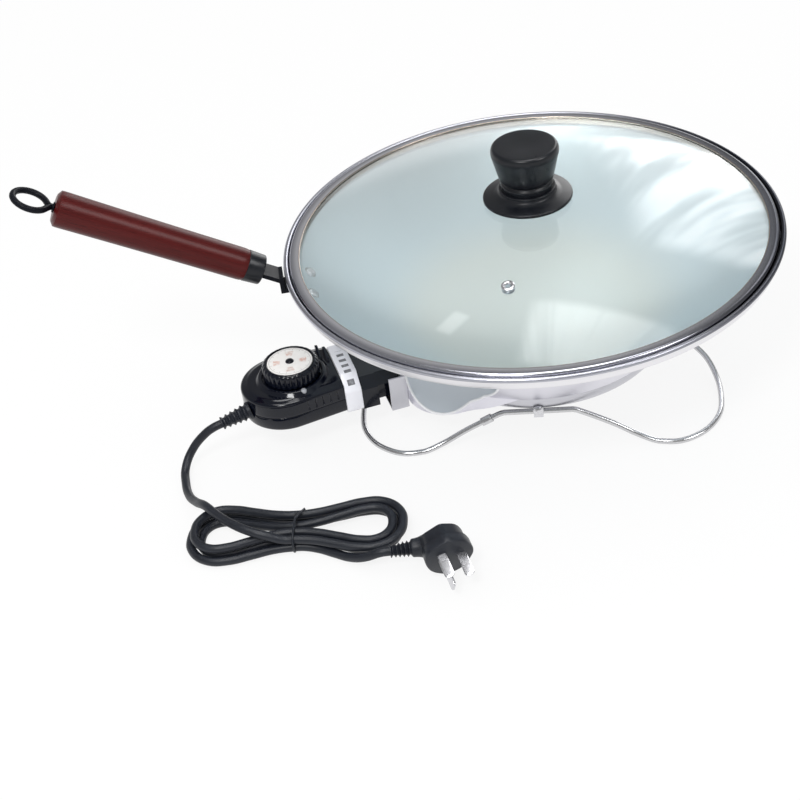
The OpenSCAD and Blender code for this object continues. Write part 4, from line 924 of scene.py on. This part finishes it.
def grip_line():
    """Radius along the grip: a slow swell from the ferrule to the far end, with eased shoulders."""
    near, far, shoulder = 0.0112, 0.0124, 0.003
    s = np.linspace(0, 1, 70)
    z = s * grip_l
    r = near + (far - near) * (0.35 * s + 0.65 * s * s) - 0.0006 * np.exp(-z / 0.0012)
    end = np.clip((z - (grip_l - shoulder)) / shoulder, 0, 1)
    r = r - shoulder * (1 - np.sqrt(np.clip(1 - end**2, 0, 1)))
    return np.vstack([[0, 0], np.stack([r, z], -1), [0, grip_l]])


red_wood = finish("lacquered_red_wood", lacquered)
dress(skin("grip_wood", on_grip(turned(grip_line(), 72))), "pot", "red_wood", red_wood, "handle_grip")

sheen, pits = {"Specular IOR Level": 0.35}, (1500, 2, 0.06, 0.0003)
baked_black = finish("moulded_phenolic", clouded(90, 4, "0b0d12", "16191f", 0.24, 0.12, sheen, pits))
ferrule_line = rounded([
    (0, -0.012, 0), (0.0104, -0.012, 0.0012), (0.0110, 0.0001, 0.0006), (0, 0.0001, 0),
], 5)
ferrule = skin("grip_ferrule", on_grip(turned(ferrule_line)))
dress(ferrule, "pot", "black_phenolic", baked_black, "handle_ferrule")

painted = clouded(120, 4, "0a0b10", "16181f", 0.3, 0.14, {"Specular IOR Level": 0.1}, (900, 3, 0.1, 0.0004))
black_paint = finish("black_stove_paint", painted)
eye_r, rod_r = 0.0115, 0.0022
neck = grip_l + 0.0032
eye_tip = eye_r / math.cos(math.radians(28))
bend_a = np.radians(np.linspace(152, -152, 40))
loop = np.stack([eye_r * np.sin(bend_a), 0 * bend_a, neck + eye_tip + eye_r * np.cos(bend_a)], -1)
stem = np.array([(0, 0, grip_l - 0.004), (0, 0, grip_l + 0.001), (0.0004, 0, neck - 0.0004)])
stem = smooth(np.concatenate([stem, loop[:1]]), 6)[:-1]
eye_path = np.concatenate([stem, loop, [(-0.0006, 0, neck + 0.0006)]])
eye_loop = skin("eye_loop", on_grip(drawn(eye_path, rod_r, 16, (0, 1, 0))))
dress(eye_loop, "pot", "black_paint", black_paint, "hanging_eye")
nut_line = rounded([(0, 0.0002, 0), (0.0036, 0.0002, 0.0004), (0.0036, 0.0012, 0.0004), (0, 0.0012, 0)], 4)
eye_collar = skin("eye_collar", on_grip(turned(nut_line + [0, grip_l], 40)))
dress(eye_collar, "pot", "black_paint", black_paint, "hanging_eye")
refinish(black_paint, "handle_bracket")
refinish(bright_steel, "handle_rivets")


# GLASS LID
# A clear tempered dome, pressed in one sheet of glass, with its edge rolled into a polished steel band. A
# steel eyelet through the glass is the steam vent.
def clear_glass(w):
    glass = w.node("BsdfPrincipled", {
        "Base Color": (0.93, 0.975, 0.975, 1), "Roughness": 0.01 + 0.02 * clouds(w, 20, 3), "IOR": 1.5,
        "Transmission Weight": 1.0,
    })
    clear = w.node("BsdfTransparent", {"Color": (0.93, 0.97, 0.97, 1)})
    return w.node("MixShader", {0: w.node("LightPath", output="Is Shadow Ray"), 1: glass, 2: clear})


dome_out, dome_cz, glass_t, glass_edge, knob_hole = 0.481535, -0.339035, 0.004, 0.1654, 0.004


def dome_height(r, extra=0.0):
    """Height, at a distance r from the axis, of the sphere that lies extra outside the glass."""
    return dome_cz + np.sqrt((dome_out + extra) ** 2 - r**2)


def dome_line():
    """Section of the dome between two spheres about one centre, from the knob's hole to the ground edge."""
    up_r = np.linspace(knob_hole, glass_edge - 0.0006, 70)
    top = np.stack([up_r, dome_height(up_r)], -1)
    down_r = up_r[::-1]
    low = np.stack([down_r, dome_height(down_r, -glass_t)], -1)
    edge = np.array([[glass_edge, top[-1, 1] - 0.0008], [glass_edge, low[0, 1] + 0.0007]])
    return np.concatenate([top, edge, low])


glass = skin("lid_dome", turned(dome_line(), 256), close_rows=True, crease=60)
dress(glass, "lid", "clear_glass", finish("clear_glass", clear_glass), "lid_glass")


def band_line():
    """Section of the rolled band: a flat top lip, a round outer edge and a flat underside, open to the
    glass."""
    inner, outer, low, high, round_r, gap = 0.1604, 0.1678, 0.1073, 0.1159, 0.0026, 0.0001
    return rounded([
        (inner, dome_height(inner, gap), gap), (inner, high, 0.0006), (outer, high, round_r),
        (outer, low, round_r), (inner, low, 0.0005), (inner, dome_height(inner, -glass_t - gap), gap),
        (glass_edge + gap, dome_height(glass_edge, -glass_t - gap), gap),
        (glass_edge + gap, dome_height(glass_edge, gap), gap),
    ], 8)


def band_steel(w):
    x, y = axes_of(w, "XY")
    r = (x * x + y * y) ** 0.5
    lines = clouds(w, 1800, 3, w.node("CombineXYZ", {0: r}))
    # Painted highlight and shade on the rolled band: the flat top lip is painted pale and the round edge
    # dark, and both are painted darker towards the right front.
    side = ramped(w, x - 0.2 * y, 0.02, 0.16, way="LINEAR")
    lip = mixed(w, side, "f2f2f8", "85878f")
    roll = mixed(w, side, "b2b3bc", "1a1d26")
    band_painted_highlight_and_shade = mixed(w, ramped(w, r, 0.1625, 0.166, way="LINEAR"), lip, roll)
    return {
        "Base Color": mixed(w, r < 0.1610, band_painted_highlight_and_shade, "cdbfb4"),
        "Metallic": 1.0,
        "Roughness": 0.12 + 0.08 * lines,
    }


band = skin("lid_roll", turned(band_line(), 256), close_rows=True, crease=50)
dress(band, "lid", "polished_steel", finish("rolled_band_steel", band_steel), "lid_band")
vent_az, vent_r = math.radians(241.6), 0.0965
vent_up = heading(vent_az, math.acos(vent_r / dome_out))
vent_line = rounded([
    (0.0019, 0.0004, 0.0006), (0.0029, 0.0013, 0.0006), (0.0045, 0.0008, 0.0006), (0.0045, 0.0001, 0.0002),
    (0.0029, 0.0001, 0), (0.0029, -0.0041, 0), (0.0045, -0.0041, 0.0002), (0.0043, -0.0051, 0.0005),
    (0.0019, -0.0051, 0.0004),
], 6)
vent_at = np.array([0, 0, dome_cz]) + dome_out * vent_up
vent = skin("vent_eyelet", set_down(turned(vent_line, 48), vent_at, (0, 0, 1), vent_up), close_rows=True)
dress(vent, "lid", "polished_steel", bright_steel, "steam_vent")


# LID KNOB
# A black phenolic knob shaped as an upturned cone with a groove near its foot, on a wide black flange that
# follows the glass, held by a screw through the dome.
collar_top, knob_top = 0.150, 0.181


def flange_line():
    """Section of the flange: an underside on the glass, a thin rounded edge, and a rise to the collar."""
    wide, collar_r = 0.0305, 0.0195
    r = np.linspace(knob_hole, wide - 0.0005, 24)
    under = np.stack([r, dome_height(r, 0.0001)], -1)
    edge_z = dome_height(wide)
    over = rounded([
        (wide, edge_z + 0.0003, 0.0004), (wide, edge_z + 0.0022, 0.0008), (0.0225, edge_z + 0.0041, 0.002),
        (collar_r, edge_z + 0.0056, 0.0012), (collar_r, collar_top, 0.0008), (knob_hole, collar_top, 0),
    ], 6)
    return np.concatenate([under, over])


flange = skin("flange_disc", turned(flange_line(), 128), close_rows=True, crease=45)
dress(flange, "lid", "black_phenolic", baked_black, "knob_flange")
foot_r, top_r = 0.018, 0.0233
knob_line = rounded([
    (0, collar_top, 0), (foot_r - 0.0004, collar_top, 0.0005), (foot_r, collar_top + 0.0038, 0.001),
    (foot_r - 0.0014, collar_top + 0.005, 0.0007), (foot_r - 0.0014, collar_top + 0.0062, 0.0007),
    (foot_r + 0.0006, collar_top + 0.0074, 0.001), (top_r, knob_top - 0.0042, 0.003),
    (top_r - 0.0012, knob_top, 0.0026), (0.012, knob_top - 0.0002, 0.004), (0, knob_top - 0.0006, 0),
], 7)
knob = skin("knob_turning", turned(knob_line, 128), crease=40)
dress(knob, "lid", "black_phenolic", baked_black, "lid_knob")


# INNER PIECES
# What the shells and the socket hide: cast heating plate, sheathed element, ceramic insulators, brass
# contacts, thermostat parts and screws, left as machined or moulded.
for name, tones, *nodes in (
    ("cast_aluminium", (700, 5, "8c8f92", "b0b3b5", 0.45, 0.2, metal, (700, 5, 0.2, 0.0006)),
     "heating_plate"),
    ("heated_sheath", (60, 4, "3c3c40", "6a665f", 0.4, 0.2, metal), "heating_element"),
    ("fired_ceramic", (900, 4, "dcd6c8", "efe9dc", 0.55, 0.15), "terminal_insulators"),
    ("plain_brass", (300, 4, "b08a48", "d8b56a", 0.25, 0.15, metal), "probe_well", "contact_sleeves",
     "bimetal_blade", "contact_blades"),
    ("moulded_board", (200, 4, "a68a5c", "c4a878", 0.5, 0.2), "thermostat_frame", "dial_spindle"),
    ("soft_grey_rubber", (300, 4, "4a4a4c", "626265", 0.6, 0.2), "knob_washer"),
):
    refinish(finish(name, clouded(*tones)), *nodes)
refinish(bright_steel, "probe_tube", "housing_screws", "knob_screw")
refinish(black_gloss, "connector_nose")


# TABLE AND LIGHT
# A plain white table in a white room. Mirrors and glass show soft windows in its walls and roof, and a soft
# key lamp hangs at the front left.
def rays(w):
    """Whether light goes to the camera, to a mirror or through a clear piece."""
    return [w.node("LightPath", output=f"Is {kind} Ray") for kind in ("Camera", "Glossy", "Transmission")]


def white_table(w):
    matt = w.node("BsdfDiffuse", {"Color": (0.86, 0.86, 0.86, 1)})
    glow = w.node("Emission", {"Color": (1, 1, 1, 1), "Strength": 1.0})
    seen, shown, through = rays(w)
    white_share = w.node("Clamp", {0: seen + shown + through}) * 0.86
    return w.node("MixShader", {0: white_share, 1: matt, 2: glow})


floor_mesh = bpy.data.meshes.new("table")
floor_mesh.from_pydata([(-6, -6, 0), (6, -6, 0), (6, 6, 0), (-6, 6, 0)], [], [(0, 1, 2, 3)])
floor_mesh.materials.append(finish("white_table", white_table))
floor = placed("table", floor_mesh)
floor.location.z = -0.0004

world = bpy.data.worlds.new("studio")
scene.world = world
world.use_nodes = True
world.node_tree.nodes.clear()
sky = Wire(world.node_tree)
toward = sky.node("TexCoord", output="Generated")


def pane(azimuth, elevation, roll, half_w, half_h, soft):
    """A square soft window in the sky: 1 where |u| < half_w and |v| < half_h in the plane one unit out in its
    direction, fading to 0 over soft past each edge. Angles in degrees."""
    a, e, k = math.radians(azimuth), math.radians(elevation), math.radians(roll)
    out = heading(a, e)
    right = np.array([math.sin(a), -math.cos(a), 0])
    up = np.cross(right, out)
    axes = (out, math.cos(k) * right - math.sin(k) * up, math.sin(k) * right + math.cos(k) * up)
    pairs = ({0: toward, 1: tuple(axis)} for axis in axes)
    far, u, v = (sky.node("VectorMath", pair, "Value", operation="DOT_PRODUCT") for pair in pairs)
    share = far > 0.1
    for way, half in ((u, half_w), (v, half_h)):
        size = sky.calc("ABSOLUTE", way / far)
        share = share * ramped(sky, size, half + soft, half)
    return share


width, depth, height = axes_of(sky, at=toward)
bearing = sky.calc("ARCTAN2", depth, width)
hang = sky.node("CombineXYZ", {0: bearing * 13, 1: height * 1.6})
drape = ramped(sky, clouds(sky, 1.0, 2, hang), 0.34, 0.58, 0.22)
right_window = pane(48, 20, 24, 0.14, 0.30, 0.12) * drape
front_window = pane(48, 68, 8, 0.16, 0.10, 0.05) * (0.55 + 0.45 * drape)
small_window = pane(97, 60, 20, 0.03, 0.015, 0.02)
roof_window = pane(78, 88, 0, 0.25, 0.13, 0.04)
side_window = pane(-46, 43, 0, 0.13, 0.13, 0.1)
panes = 4.6 * right_window + 4.2 * front_window + 3.0 * small_window + 7.0 * roof_window + 8.0 * side_window
mirrored = 0.33 + 0.55 * ramped(sky, height, 0.22, 0.04) + panes
inside = ramped(sky, depth, -0.5, 0.6, 0.62)
seen, shown, through = rays(sky)
open_sky = shown * mirrored + (1 - shown) * 0.95
lit = through * inside + (1 - through) * open_sky
level = seen + (1 - seen) * lit
sky_light = sky.node("Background", {"Color": (1, 1, 1, 1), "Strength": level})
sky.node("OutputWorld", {"Surface": sky_light})

key_light = bpy.data.lights.new("key", "AREA")
key_light.shape = "DISK"
key_light.size = 0.5
key_light.energy = 14
key_at = np.array([-0.75, -1.05, 1.65])
key_back = unit(key_at - np.array([-0.05, 0, 0.05]))
key_side = unit(np.cross((0, 0, 1), key_back))
aimed(placed("key", key_light), key_at.tolist(), key_side, np.cross(key_back, key_side), key_back)
